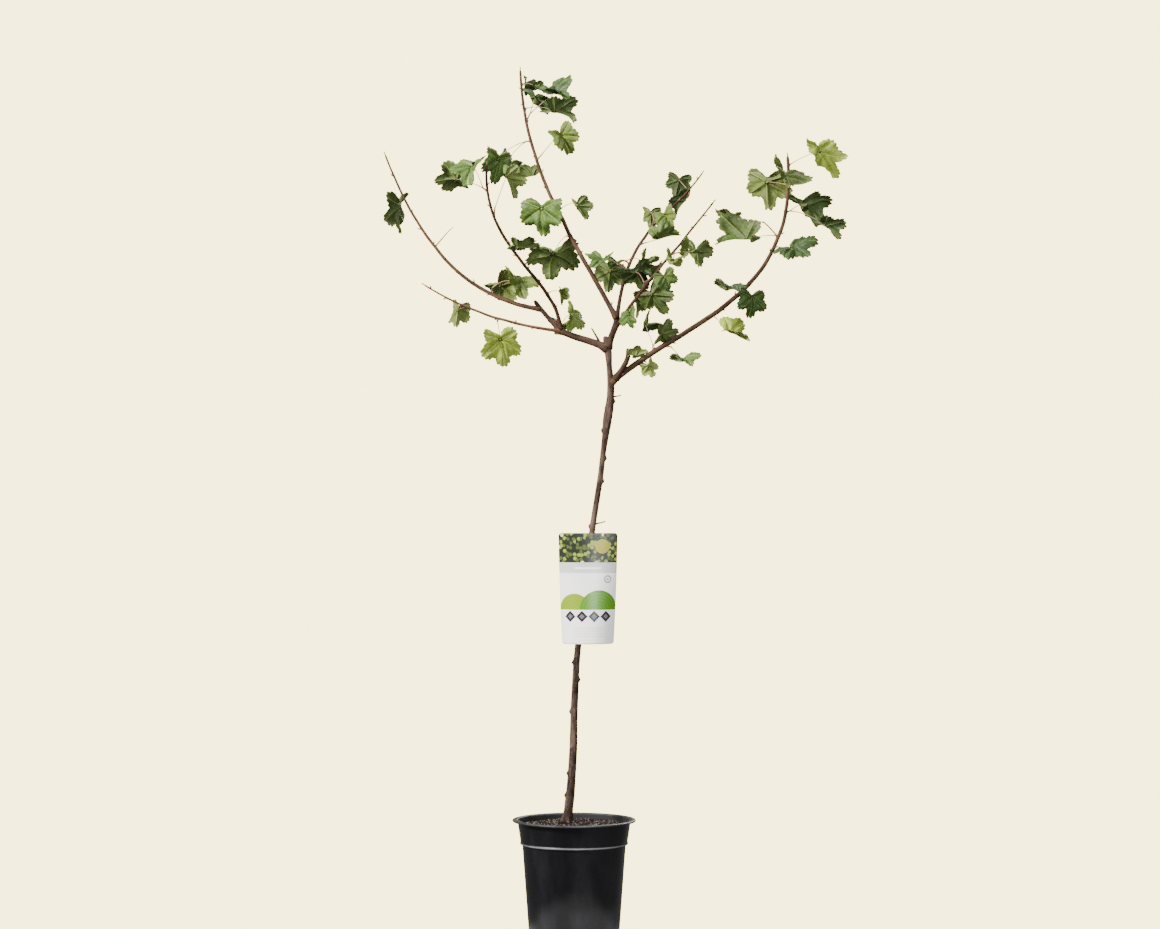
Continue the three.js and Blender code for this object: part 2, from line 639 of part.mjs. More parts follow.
// A mass of foliage: the leafy end that carries a bough on, or spurs that meet its side
function makeMass(mass, limbsGrown) {
  const limb = LIMBS.find(({ name }) => name === mass.bough);
  const curve = limbCurves.get(mass.bough);
  const parts = mass.sprays.flatMap(
    (spray) => spraySolids(spray, curve.getPoint(spray.at), curve.getTangent(spray.at)),
  );
  const atTip = mass.sprays[0].at > (limb.bareTo ?? 1);
  if (atTip) parts.push(limbTube(limb, limb.bareTo, 1, STEM_SIDES, 0));
  const leafy = wasm.Manifold.union(parts).subtract(limbsGrown);
  return largestPiece(leafy.simplify(SEAM_TOLERANCE));
}

// A card that curls round toward its foot, hung on the stem by a strap
function makeLabel() {
  const { across, up } = CARD_GRID;
  const card = new THREE.BoxGeometry(CARD.width, CARD.thickness, CARD.height, across, 1, up);
  reshape(card, (vertex) => {
    const rise = vertex.z / CARD.height + 0.5;
    const curl = THREE.MathUtils.lerp(CARD_CURL.foot, CARD_CURL.head, rise);
    const radius = CARD.width / 2 / curl;
    const angle = vertex.x / radius;
    const arm = radius - vertex.y;
    return new THREE.Vector3(
      CARD.centre + arm * Math.sin(angle),
      CARD.front + radius - arm * Math.cos(angle),
      CARD.foot + rise * CARD.height,
    );
  });
  const { centre, radius } = trunkAt(STRAP.height);
  const inner = radius + STRAP.slack;
  const outer = inner + STRAP.thickness;
  const band = new THREE.CylinderGeometry(outer, outer, STRAP.tall, STRAP.sides);
  const hole = new THREE.CylinderGeometry(inner, inner, 2 * STRAP.tall, STRAP.sides);
  const depth = -CARD.front - inner;
  const bridge = new THREE.BoxGeometry(STRAP.bridge, depth, STRAP.tall);
  bridge.translate(centre.x, (CARD.front - inner) / 2, centre.z);
  const ring = solidFrom(band.rotateX(Math.PI / 2).translate(centre.x, 0, centre.z));
  const bore = solidFrom(hole.rotateX(Math.PI / 2).translate(centre.x, 0, centre.z));
  return solidFrom(card).add(ring).add(solidFrom(bridge)).subtract(bore);
}

const plant = new THREE.Group();
plant.add(meshFrom("pot", makePot(), "pot"));
plant.add(meshFrom("soil", makeSoil(), "soil"));
plant.add(meshFrom("trunk", makeTrunk(), "bark"));
let grown = trunkTube(GAP);
for (const limb of LIMBS) {
  const clear = largestPiece(limbSolid(limb, 0).subtract(grown));
  plant.add(meshFrom(limb.name, clear, "bark"));
  grown = grown.add(limbSolid(limb, GAP));
}
for (const mass of MASSES) plant.add(meshFrom(mass.name, makeMass(mass, grown), mass.tint));
plant.add(meshFrom("label", makeLabel(), "card"));

export default plant;
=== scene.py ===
"""A potted standard jostaberry, dressed for its picture.

A clean, slightly leaning stem carries a small open head of arching boughs with lobed
leaves. It grows in a black nursery pot and wears a picture card. Sizes are written in
millimetres and become metres when a mesh is made. The plant's front faces -Y.
"""
from __future__ import annotations

import itertools
import json
import logging
import math
from collections.abc import Callable
from dataclasses import dataclass, field
from enum import Enum

import bpy
import numpy as np
from bpy.types import Material, Mesh, Node, NodeSocket, NodeTree, Object
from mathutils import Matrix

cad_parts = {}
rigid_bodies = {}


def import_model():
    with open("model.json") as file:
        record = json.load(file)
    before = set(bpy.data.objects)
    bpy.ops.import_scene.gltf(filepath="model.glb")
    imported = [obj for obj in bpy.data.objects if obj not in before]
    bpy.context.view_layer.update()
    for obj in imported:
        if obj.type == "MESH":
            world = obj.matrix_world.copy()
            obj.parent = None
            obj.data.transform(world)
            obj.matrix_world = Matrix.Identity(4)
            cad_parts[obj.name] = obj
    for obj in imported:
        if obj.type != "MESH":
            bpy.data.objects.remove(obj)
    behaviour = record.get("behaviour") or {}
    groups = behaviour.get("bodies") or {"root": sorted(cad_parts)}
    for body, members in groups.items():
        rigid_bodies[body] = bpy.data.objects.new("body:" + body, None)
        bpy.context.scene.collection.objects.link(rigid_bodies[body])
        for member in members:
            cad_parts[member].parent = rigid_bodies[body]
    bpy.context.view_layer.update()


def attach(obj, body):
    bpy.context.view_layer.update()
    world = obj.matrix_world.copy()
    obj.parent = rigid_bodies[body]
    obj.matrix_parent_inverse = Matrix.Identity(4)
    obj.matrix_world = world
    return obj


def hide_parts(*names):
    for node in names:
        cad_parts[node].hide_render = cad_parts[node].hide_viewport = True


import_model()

METRES = 0.001
BODY = "root"
# The name of a piece's own bake map.
BAKE_MAP = "OFBake"
GOLDEN_TURN = math.radians(137.5)
UP = np.array([0.0, 0.0, 1.0])
WORD = 0xFFFFFFFF
# Factors and shifts that mix the bits of a place, and the step from draw to draw.
PLACE_MIXERS = (73856093, 19349663, 83492791)
SEED_MIXER = 40503
BIT_MIXERS = ((15, 0x2C1B3C6D), (12, 0x297A2D39), (15, 1))
DRAW_STEP = 0x6D2B79F5
Array = np.ndarray
Span = tuple[float, float]
Place = tuple[float, float, float]

log = logging.getLogger("jostaberry")


# Sums on numbers and points


def unit(vectors: Array) -> Array:
    """Return the vectors at a length of one."""
    return vectors / np.linalg.norm(vectors, axis=-1, keepdims=True)


def points_at(*parts: object) -> Array:
    """Bring coordinates together into points or pairs."""
    return np.stack(np.broadcast_arrays(*parts), -1)


def smooth(low: float, high: float, values: Array) -> Array:
    """Rise softly from 0 at low to 1 at high, or fall where high is below low."""
    part = np.clip((values - low) / (high - low), 0.0, 1.0)
    return part * part * (3.0 - 2.0 * part)


def hump(away: Array, reach: float) -> Array:
    """Give 1 at no distance, and next to nothing two reaches away."""
    return np.exp(-((away / reach) ** 2))


def fading(away: Array, start: float, reach: float) -> Array:
    """Give 1 up to a start, and fade beyond it."""
    return np.exp(-np.maximum(away - start, 0.0) / reach)


def all_round(count: int) -> Array:
    """List evenly spaced turns about an axis, in radians."""
    return np.arange(count) * 2 * math.pi / count


def turned_off(turns: Array, side: float) -> Array:
    """Give how far each turn lies from a side, the short way round."""
    return np.abs((turns - side + math.pi) % (2 * math.pi) - math.pi)


def compass(azimuth: float, slope: float = 0.0) -> Array:
    """Point toward an azimuth and a slope, both in degrees."""
    turn, climb = np.radians([azimuth, slope])
    return points_at(np.cos(climb) * np.cos(turn), np.cos(climb) * np.sin(turn), np.sin(climb))


def leaning(axis: Array, turn: float, angle: float) -> Array:
    """Leave an axis by an angle, toward a turn about it.

    Args:
        axis: The direction that is left.
        turn: Radians about the axis.
        angle: Radians away from the axis.

    Returns:
        A direction of length one.
    """
    first = unit(np.cross(axis, [1.0, 0.0, 0.0] if abs(axis[2]) > 0.9 else UP))
    out = first * math.cos(turn) + np.cross(axis, first) * math.sin(turn)
    return axis * math.cos(angle) + out * math.sin(angle)


def bezier(controls: Array, at: float | Array) -> Array:
    """Give the points at places from 0 to 1 of the curve that its controls pull."""
    t, n = np.asarray(at, dtype=float)[..., None], len(controls) - 1
    return sum(math.comb(n, i) * (1 - t) ** (n - i) * t**i * c for i, c in enumerate(controls))


def travelled(line: Array) -> Array:
    """Measure how far along a line each of its points lies."""
    return np.concatenate([[0.0], np.cumsum(np.linalg.norm(np.diff(line, axis=0), axis=1))])


def grain(seed: int, *places: object) -> Array:
    """Give smooth seeded noise at places in space.

    Args:
        seed: Which noise.
        *places: Three coordinates, a unit apart where the noise changes.

    Returns:
        A value between -1 and 1 for each place.
    """
    points = points_at(*places).astype(float)
    cell = np.floor(points).astype(np.int64)
    soft = smooth(0.0, 1.0, points - cell)
    total = np.zeros(points.shape[:-1])
    for corner in itertools.product((0, 1), repeat=3):
        x, y, z = np.moveaxis((cell + np.array(corner)) * PLACE_MIXERS, -1, 0)
        mixed = (x ^ y ^ z ^ (seed * SEED_MIXER)) & WORD
        for shift, factor in BIT_MIXERS:
            mixed = ((mixed ^ (mixed >> shift)) * factor) & WORD
        weight = np.prod(np.where(np.array(corner) == 1, soft, 1.0 - soft), axis=-1)
        total += weight * (mixed / WORD * 2.0 - 1.0)
    return total


@dataclass(frozen=True)
class Layer:
    """A layer of relief: its seed, the width and length of its grain, and its height."""

    seed: int
    wide: float
    long: float
    height: float

    def noise(self, x: Array, y: Array, run: Array | float, index: int = 0) -> Array:
        """Give its noise, from -1 to 1, at places of a surface."""
        return grain(self.seed + index, x / self.wide, y / self.wide, run / self.long)

    def rise(self, x: Array, y: Array, run: Array | float, index: int = 0) -> Array:
        """Give its height at places of a surface."""
        return self.height * self.noise(x, y, run, index)


class Draws:
    """Numbers between 0 and 1 that follow from a seed."""

    def __init__(self, seed: int) -> None:
        """Start at a seed."""
        self.state = seed & WORD

    def draw(self) -> float:
        """Move on by one step.

        Returns:
            A number from 0 up to 1.
        """
        self.state = (self.state + DRAW_STEP) & WORD
        mixed = self.state
        mixed = ((mixed ^ (mixed >> 15)) * (mixed | 1)) & WORD
        mixed ^= (mixed + ((mixed ^ (mixed >> 7)) * (mixed | 61))) & WORD
        return ((mixed ^ (mixed >> 14)) & WORD) / (WORD + 1)

    def between(self, low: float, high: float) -> float:
        """Return the next number, spread between two ends."""
        return low + (high - low) * self.draw()


# Colours, node trees and shader sums


def paint(code: str) -> tuple[float, ...]:
    """Turn six hexadecimal digits of a screen colour into a shader's linear colour."""
    channels = (int(code[i : i + 2], 16) / 255 for i in (0, 2, 4))
    return (*(c / 12.92 if c <= 0.04045 else ((c + 0.055) / 1.055) ** 2.4 for c in channels), 1.0)


class Tree:
    """A node tree that is filled from expressions."""

    def __init__(self, nodes: NodeTree) -> None:
        """Take an empty node tree."""
        self.tree = nodes

    def node(self, kind: str, settings: dict[str, object], **inputs: object) -> Node:
        """Add a node, set it, and fill its sockets.

        Args:
            kind: The node's type.
            settings: Its settings, such as a Math node's operation.
            **inputs: A value or a link for each socket, by name, with _ for a space,
                or by place, as in0, in1.

        Returns:
            The node.
        """
        made = self.tree.nodes.new(kind)
        for name, value in settings.items():
            setattr(made, name, value)
        for name, value in inputs.items():
            key = int(name[2:]) if name[2:].isdigit() else name.replace("_", " ")
            self.fill(made.inputs[key], value)
        return made

    def fill(self, socket: NodeSocket, value: object) -> None:
        """Fill a socket.

        Args:
            socket: The socket.
            value: A plain value, or what is linked to it.
        """
        value = value.socket if isinstance(value, Value) else value
        if isinstance(value, NodeSocket):
            self.tree.links.new(value, socket)
        else:
            socket.default_value = value


def operator(operation: str, turned: bool = False) -> Callable[..., Value]:
    """Make a method that adds one kind of Math node.

    Args:
        operation: The Math node's operation.
        turned: Whether its terms swap places.

    Returns:
        The method.
    """

    def method(first: Value, *others: Number) -> Value:
        """Add the node.

        Args:
            first: The number whose method this is.
            *others: What it is worked out with.

        Returns:
            The result.
        """
        terms = (*others, first) if turned else (first, *others)
        inputs = {f"in{i}": term for i, term in enumerate(terms)}
        made = first.tree.node("ShaderNodeMath", {"operation": operation}, **inputs)
        return Value(first.tree, made.outputs[0])

    return method


class Value:
    """A shader socket that reads as a number in an expression."""

    def __init__(self, tree: Tree, socket: NodeSocket) -> None:
        """Wrap a socket of a tree."""
        self.tree, self.socket = tree, socket

    __add__ = __radd__ = operator("ADD")
    __mul__ = __rmul__ = operator("MULTIPLY")
    __sub__, __rsub__ = operator("SUBTRACT"), operator("SUBTRACT", True)
    __truediv__ = operator("DIVIDE")
    __gt__, __lt__ = operator("GREATER_THAN"), operator("LESS_THAN")
    least, bearing = operator("MINIMUM"), operator("ARCTAN2")
    size, rest, root = operator("ABSOLUTE"), operator("FRACT"), operator("SQRT")

    def between(self, low: Number, high: Number) -> Value:
        """Rise softly from one value to another.

        Args:
            low: Where the result is 0.
            high: Where it is 1.

        Returns:
            The softened step.
        """
        made = self.tree.node(
            "ShaderNodeMapRange", {"interpolation_type": "SMOOTHSTEP", "clamp": True},
            Value=self, From_Min=low, From_Max=high, To_Min=0.0, To_Max=1.0,
        )
        return Value(self.tree, made.outputs["Result"])


Number = Value | float


@dataclass(frozen=True)
class Cloud:
    """A cloudy noise: its scale, its layers, their roughness, and its scale along z."""

    scale: float
    detail: float = 3.0
    rough: float = 0.55
    tall: float = 1.0


class Recipe(Tree):
    """A material that is mixed step by step."""

    def __init__(self, name: str) -> None:
        """Start a material with one shader.

        Args:
            name: Its name.
        """
        self.material = bpy.data.materials.new(name)
        self.material.use_nodes = True
        super().__init__(self.material.node_tree)
        self.tree.nodes.clear()
        self.shader = self.node("ShaderNodeBsdfPrincipled", {})
        self.node("ShaderNodeOutputMaterial", {}, Surface=self.shader.outputs[0])

    def place(self) -> NodeSocket:
        """Give the place on the object, in metres."""
        return self.node("ShaderNodeTexCoord", {}).outputs["Object"]

    def carried(self, name: str, kind: str = "Vector") -> NodeSocket:
        """Give the vector that the mesh carries under a name, or its number as Fac."""
        return self.node("ShaderNodeAttribute", {"attribute_name": name}).outputs[kind]

    def parts(self, vector: NodeSocket) -> tuple[Value, ...]:
        """Split a vector into its three numbers."""
        made = self.node("ShaderNodeSeparateXYZ", {}, Vector=vector)
        return tuple(Value(self, out) for out in made.outputs)

    def stretched(self, vector: NodeSocket, *scale: float) -> NodeSocket:
        """Scale a pattern's place along its axes."""
        return self.node("ShaderNodeMapping", {}, Vector=vector, Scale=scale).outputs[0]

    def noise(self, vector: NodeSocket, cloud: Cloud) -> Value:
        """Add a cloudy noise.

        Args:
            vector: The place.
            cloud: The noise's settings.

        Returns:
            The noise, which lies around one half.
        """
        if cloud.tall != 1.0:
            vector = self.stretched(vector, 1.0, 1.0, cloud.tall)
        sizes = {"Scale": cloud.scale, "Detail": cloud.detail, "Roughness": cloud.rough}
        return Value(self, self.node("ShaderNodeTexNoise", {}, Vector=vector, **sizes).outputs[0])

    def cells(self, vector: NodeSocket, scale: float, kind: str = "3D") -> tuple[Value, Value]:
        """Scatter points and give each place to the nearest.

        Args:
            vector: The place.
            scale: How many points there are to a unit of place.
            kind: Whether they lie in space or, as 2D, on a flat.

        Returns:
            The distance to the nearest point, and that point's own number.
        """
        dots = {"voronoi_dimensions": kind}
        made = self.node("ShaderNodeTexVoronoi", dots, Vector=vector, Scale=scale)
        return Value(self, made.outputs["Distance"]), self.parts(made.outputs["Color"])[0]

    def layered(self, colour: object, *layers: tuple[object, ...]) -> NodeSocket:
        """Lay colours over a first one, each given as a colour, its code or a socket.

        Args:
            colour: The lowest colour.
            *layers: For each the part of it that shows, its colour and perhaps a blend type.

        Returns:
            The mixed colour.
        """
        for part, over, *kind in layers:
            first, second = (paint(c) if isinstance(c, str) else c for c in (colour, over))
            blend = {"data_type": "RGBA", "blend_type": (*kind, "MIX")[0], "clamp_factor": True}
            made = self.node("ShaderNodeMix", blend, in0=part, in6=first, in7=second)
            colour = made.outputs[2]
        return colour

    def relief(self, height: Value, depth: float, strength: float = 1.0) -> NodeSocket:
        """Turn a height from 0 to 1 into a normal that stands out a depth in metres."""
        sizes = {"Strength": strength, "Distance": depth}
        return self.node("ShaderNodeBump", {}, Height=height, **sizes).outputs[0]

    def done(self, colour: object, roughness: object, shine: float, **inputs: object) -> Material:
        """Fill the shader.

        Args:
            colour: Its base colour.
            roughness: How dull it is.
            shine: Its specular level.
            **inputs: Other sockets' values, by name, with _ for a space.

        Returns:
            The material.
        """
        inputs |= {"Base_Color": colour, "Roughness": roughness, "Specular_IOR_Level": shine}
        for name, value in inputs.items():
            self.fill(self.shader.inputs[name.replace("_", " ")], value)
        return self.material


# Meshes


@dataclass
class Patch:
    """A piece of surface: points, and lists of faces with equal numbers of corners.

    An extra is carried as a vector or a number for each point, or, where it has two columns,
    as a map of the corners. Each list of faces has its material slot.
    """

    points: Array
    faces: list[Array]
    extras: dict[str, Array]
    slots: list[int]


def joined(patches: list[Patch]) -> Patch:
    """Join patches that carry the same extras into one.

    Args:
        patches: The patches.

    Returns:
        The joined patch.
    """
    starts = np.cumsum([0] + [len(patch.points) for patch in patches])
    return Patch(
        np.concatenate([patch.points for patch in patches]),
        [face + start for patch, start in zip(patches, starts) for face in patch.faces],
        {name: np.concatenate([p.extras[name] for p in patches]) for name in patches[0].extras},
        [slot for patch in patches for slot in patch.slots],
    )


def grid(rows: int, columns: int, wrapped: bool) -> tuple[Array, Array, Array]:
    """List the quads of a grid of points.

    Args:
        rows: How many rows of points there are.
        columns: How many columns of points there are.
        wrapped: Whether the last column joins the first.

    Returns:
        The four corners of each quad, and the row and the column of each corner.
    """
    row, column = np.indices((rows - 1, columns if wrapped else columns - 1)).reshape(2, -1, 1)
    row, column = row + [0, 0, 1, 1], column + [0, 1, 1, 0]
    return row * columns + column % columns, row, column


def add_object(name: str, data: object) -> Object:
    """Put something in the scene, at the origin.

    Args:
        name: The object's name.
        data: Its mesh, lamp or camera.

    Returns:
        The object.
    """
    made = bpy.data.objects.new(name, data)
    bpy.context.scene.collection.objects.link(made)
    return made


def carry(mesh: Mesh, title: str, values: Array) -> None:
    """Let a mesh carry numbers or vectors on its points, or a map on its corners.

    Args:
        mesh: The mesh.
        title: The name that they are carried under.
        values: One row for each point or corner.
    """
    flat = values.astype(np.float32).ravel()
    if values.ndim == 1:
        mesh.attributes.new(title, "FLOAT", "POINT").data.foreach_set("value", flat)
    elif values.shape[1] == 3:
        mesh.attributes.new(title, "FLOAT_VECTOR", "POINT").data.foreach_set("vector", flat)
    else:
        mesh.uv_layers.new(name=title).uv.foreach_set("vector", flat)


def make_piece(name: str, patch: Patch, *finishes: Material) -> Object:
    """Make an object, in metres, from a patch in millimetres.

    Args:
        name: The object's name.
        patch: Its surface.
        *finishes: Its materials, in the order of the patch's slots.

    Returns:
        The object.
    """
    counts = np.concatenate([np.full(len(face), face.shape[1]) for face in patch.faces])
    corners = np.concatenate([face.ravel() for face in patch.faces])
    slots = np.repeat(patch.slots, [len(face) for face in patch.faces])
    mesh = bpy.data.meshes.new(name)
    mesh.vertices.add(len(patch.points))
    mesh.vertices.foreach_set("co", (patch.points * METRES).ravel())
    mesh.loops.add(len(corners))
    mesh.loops.foreach_set("vertex_index", corners.astype(np.int32))
    mesh.polygons.add(len(counts))
    mesh.polygons.foreach_set("loop_start", (np.cumsum(counts) - counts).astype(np.int32))
    mesh.polygons.foreach_set("material_index", slots.astype(np.int32))
    mesh.update(calc_edges=True)
    for title, values in patch.extras.items():
        carry(mesh, title, values)
    for finish in finishes:
        mesh.materials.append(finish)
    mesh.shade_smooth()
    mesh.validate()
    return add_object(name, mesh)


def hand_over(piece: Object, slot: str, *nodes: str) -> None:
    """Fasten a piece to the plant's body and say what it stands for.

    Args:
        piece: The finished piece.
        slot: The material slot that it belongs to; it is not used.
        *nodes: The CAD nodes that it replaces.
    """
    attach(piece, BODY)
    if nodes:
        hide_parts(*nodes)
    log.info("%s: %d faces, for %s", piece.name, len(piece.data.polygons), nodes or "nothing")


def evaluated(piece: Object) -> Mesh:
    """Take the mesh that an object has with its modifiers."""
    depsgraph = bpy.context.evaluated_depsgraph_get()
    return bpy.data.meshes.new_from_object(piece.evaluated_get(depsgraph))


def strips(widths: list[float], margin: float = 0.006) -> list[Span]:
    """Share out a bake map among tubes, as the left edge and the width of each strip."""
    edges = np.cumsum([0.0, *widths]) / sum(widths)
    return [(low + margin / 2, high - low - margin) for low, high in zip(edges, edges[1:])]


def carry_frames(centres: Array) -> tuple[Array, Array]:
    """Carry two cross directions along a line without twist.

    Args:
        centres: The line's points.

    Returns:
        The two directions at each point, square to the line.
    """
    along = unit(np.gradient(centres, axis=0))
    start = np.array([0.0, 1.0, 0.0]) if abs(along[0, 0]) > 0.9 else np.array([1.0, 0.0, 0.0])
    across = np.empty_like(centres)
    for i, heading in enumerate(along):
        start = unit(start - heading * np.dot(start, heading))
        across[i] = start
    return across, np.cross(along, across)


def ringed(points: Array, travel: Array, cell: Span = (0.0, 1.0), capped: bool = True) -> Patch:
    """Join rings of points into a skin.

    Args:
        points: The points by ring and side.
        travel: How far along each ring lies.
        cell: The left edge and width of its strip of the bake map.
        capped: Whether the first and last rings are closed with a face.

    Returns:
        The skin.
    """
    (rows, sides, _), (left, width) = points.shape, cell
    quads, row, column = grid(rows, sides, True)
    bake = points_at(left + width * column / sides, 0.004 + 0.992 * travel[row] / travel[-1])
    faces, maps = [quads], [bake.reshape(-1, 2)]
    if capped:
        turns, ring = all_round(sides), np.arange(sides)[None]
        cap = points_at(left + width * (0.5 + 0.4 * np.cos(turns)), 0.003 + 0.003 * np.sin(turns))
        faces += [ring[:, ::-1], ring + (rows - 1) * sides]
        maps += [cap[::-1], cap * [1.0, -1.0] + [0.0, 1.0]]
    return Patch(points.reshape(-1, 3), faces, {BAKE_MAP: np.concatenate(maps)}, [0] * len(faces))


def swept_tube(centres: Array, radii: Array, cell: Span = (0.0, 1.0), seed: int = 0) -> Patch:
    """Sweep a closed tube along a line.

    Args:
        centres: The line's points.
        radii: The radius at each point and side.
        cell: The left edge and width of its strip of the bake map.
        seed: Shifts the pattern that it carries.

    Returns:
        The tube, with flat ends, carrying its grain: around, around and along.
    """
    turns, travel = all_round(radii.shape[1]), travelled(centres)
    across, up = (side[:, None] for side in carry_frames(centres))
    ring = across * np.cos(turns)[:, None] + up * np.sin(turns)[:, None]
    tube = ringed(centres[:, None] + ring * radii[..., None], travel, cell)
    mean = radii.mean(axis=1)[:, None]
    follow = points_at(mean * np.cos(turns), mean * np.sin(turns), travel[:, None] + 37.0 * seed)
    tube.extras["grain"] = follow.reshape(-1, 3) * METRES
    return tube


def draw_in(radii: Array, shares: tuple[float, ...]) -> None:
    """Draw a tube's last rings in to shares of their radius."""
    ends = radii[-len(shares) :].T
    ends *= shares


def rounded_bar(centres: Array, wide: float, tall: float) -> Patch:
    """Sweep a bar with rounded edges along a level line.

    Args:
        centres: The line's points.
        wide: Half the bar's width.
        tall: Half its height.

    Returns:
        The bar.
    """
    turns = all_round(24)
    reach = (np.abs(np.cos(turns) / wide) ** 8 + np.abs(np.sin(turns) / tall) ** 8) ** (-1 / 8)
    return swept_tube(centres, np.tile(reach, (len(centres), 1)))


def turned_shell(profile: Array, sides: int, capped: bool = True) -> Patch:
    """Turn a profile about the upright axis.

    Args:
        profile: Its radii and heights.
        sides: How many sides the shell has.
        capped: Whether its ends are closed.

    Returns:
        The shell.
    """
    turns, (radii, heights) = all_round(sides), profile.T[..., None]
    rings = points_at(radii * np.cos(turns), radii * np.sin(turns), heights)
    return ringed(rings, travelled(profile), capped=capped)


# Geometry Nodes


class Grower(Tree):
    """A Geometry Nodes tree that makes what repeats."""

    def __init__(self, name: str, **inputs: tuple[str, object]) -> None:
        """Start a tree with its named inputs.

        Args:
            name: The tree's name.
            **inputs: The kind and the first value of each.
        """
        super().__init__(bpy.data.node_groups.new(name, "GeometryNodeTree"))
        face = self.tree.interface
        face.new_socket("Geometry", in_out="INPUT", socket_type="NodeSocketGeometry")
        face.new_socket("Geometry", in_out="OUTPUT", socket_type="NodeSocketGeometry")
        self.names = {}
        for title, (kind, value) in {**inputs, "Finish": ("Material", None)}.items():
            socket = face.new_socket(title, in_out="INPUT", socket_type=f"NodeSocket{kind}")
            if value is not None:
                socket.default_value = value
            self.names[title] = socket.identifier
        self.given = self.node("NodeGroupInput", {}).outputs

    def finish(self, **instances: NodeSocket) -> None:
        """Set instances on points, and end the tree in real meshes with a material.

        Args:
            **instances: The links of the node that sets them.
        """
        placed = self.node("GeometryNodeInstanceOnPoints", {}, **instances)
        real = self.node("GeometryNodeRealizeInstances", {}, Geometry=placed.outputs[0])
        dressed = self.node(
            "GeometryNodeSetMaterial", {}, Geometry=real.outputs[0], Material=self.given["Finish"]
        )
        self.node("NodeGroupOutput", {}, in0=dressed.outputs[0])

    def grow(self, name: str, ground: Mesh, finish: Material, **values: object) -> Object:
        """Run the tree on a mesh and keep the result as a plain mesh.

        Args:
            name: The new object's name.
            ground: What the tree grows on.
            finish: The material that it sets.
            **values: The inputs' values, by name.

        Returns:
            The object, without the modifier.
        """
        made = add_object(name, ground)
        modifier = made.modifiers.new("Growth", "NODES")
        modifier.node_group = self.tree
        for title, value in {**values, "Finish": finish}.items():
            modifier[self.names[title]] = value
        grown = evaluated(made)
        made.modifiers.remove(modifier)
        made.data = grown
        grown.materials.clear()
        grown.materials.append(finish)
        return made


def crumb_grower() -> Grower:
    """Make the tree that scatters angular crumbs over a surface.

    Returns:
        The tree.
    """
    tree = Grower(
        "Crumbs", Density=("Float", 50000.0), Least=("Vector", (0.0006, 0.0005, 0.0004)),
        Greatest=("Vector", (0.002, 0.0015, 0.001)), Seed=("Int", 1),
    )
    given = tree.given
    points = tree.node(
        "GeometryNodeDistributePointsOnFaces", {"distribute_method": "RANDOM"},
        Mesh=given["Geometry"], Density=given["Density"], Seed=given["Seed"],
    )
    crumb = tree.node("GeometryNodeMeshIcoSphere", {}, Radius=1.0, Subdivisions=1)
    turn, scale = (
        tree.node(
            "FunctionNodeRandomValue", {"data_type": "FLOAT_VECTOR"},
            in0=low, in1=high, Seed=given["Seed"],
        )
        for low, high in (((0.0,) * 3, (6.28,) * 3), (given["Least"], given["Greatest"]))
    )
    tree.finish(
        Points=points.outputs["Points"], Instance=crumb.outputs["Mesh"],
        Rotation=turn.outputs[0], Scale=scale.outputs[0],
    )
    return tree


def bud_grower() -> Grower:
    """Make the tree that sets a pointed bud on each point it is given.

    Returns:
        The tree, which reads the points' facing and swell.
    """
    tree = Grower("Buds", Length=("Float", 0.0058), Radius=("Float", 0.0015))
    wide, long = tree.given["Radius"], tree.given["Length"]
    tip, foot = (
        tree.node(
            "GeometryNodeMeshCone", {"fill_type": "NGON"},
            Vertices=8, Side_Segments=1, Radius_Top=top, Radius_Bottom=foot, Depth=depth,
        ).outputs["Mesh"]
        for top, foot, depth in ((0.12, 0.75, 0.55), (0.75, 0.45, 0.45))
    )
    raised = tree.node("GeometryNodeTransform", {}, Geometry=tip, Translation=(0.0, 0.0, 0.45))
    both = tree.node("GeometryNodeJoinGeometry", {}, Geometry=foot)
    tree.fill(both.inputs[0], raised.outputs[0])
    merged = tree.node(
        "GeometryNodeMergeByDistance", {}, Geometry=both.outputs[0], Distance=0.001
    )
    size = tree.node("ShaderNodeCombineXYZ", {}, X=wide, Y=wide, Z=long)
    shaped = tree.node(
        "GeometryNodeTransform", {}, Geometry=merged.outputs[0], Scale=size.outputs[0]
    )
    facing, swell = (
        tree.node("GeometryNodeInputNamedAttribute", {"data_type": kind}, Name=name).outputs[0]
        for kind, name in (("FLOAT_VECTOR", "facing"), ("FLOAT", "swell"))
    )
    aimed = tree.node("FunctionNodeAlignRotationToVector", {"axis": "Z"}, Vector=facing)
    tree.finish(
        Points=tree.given["Geometry"], Instance=shaped.outputs[0],
        Rotation=aimed.outputs[0], Scale=swell,
    )
    return tree


# Finishes


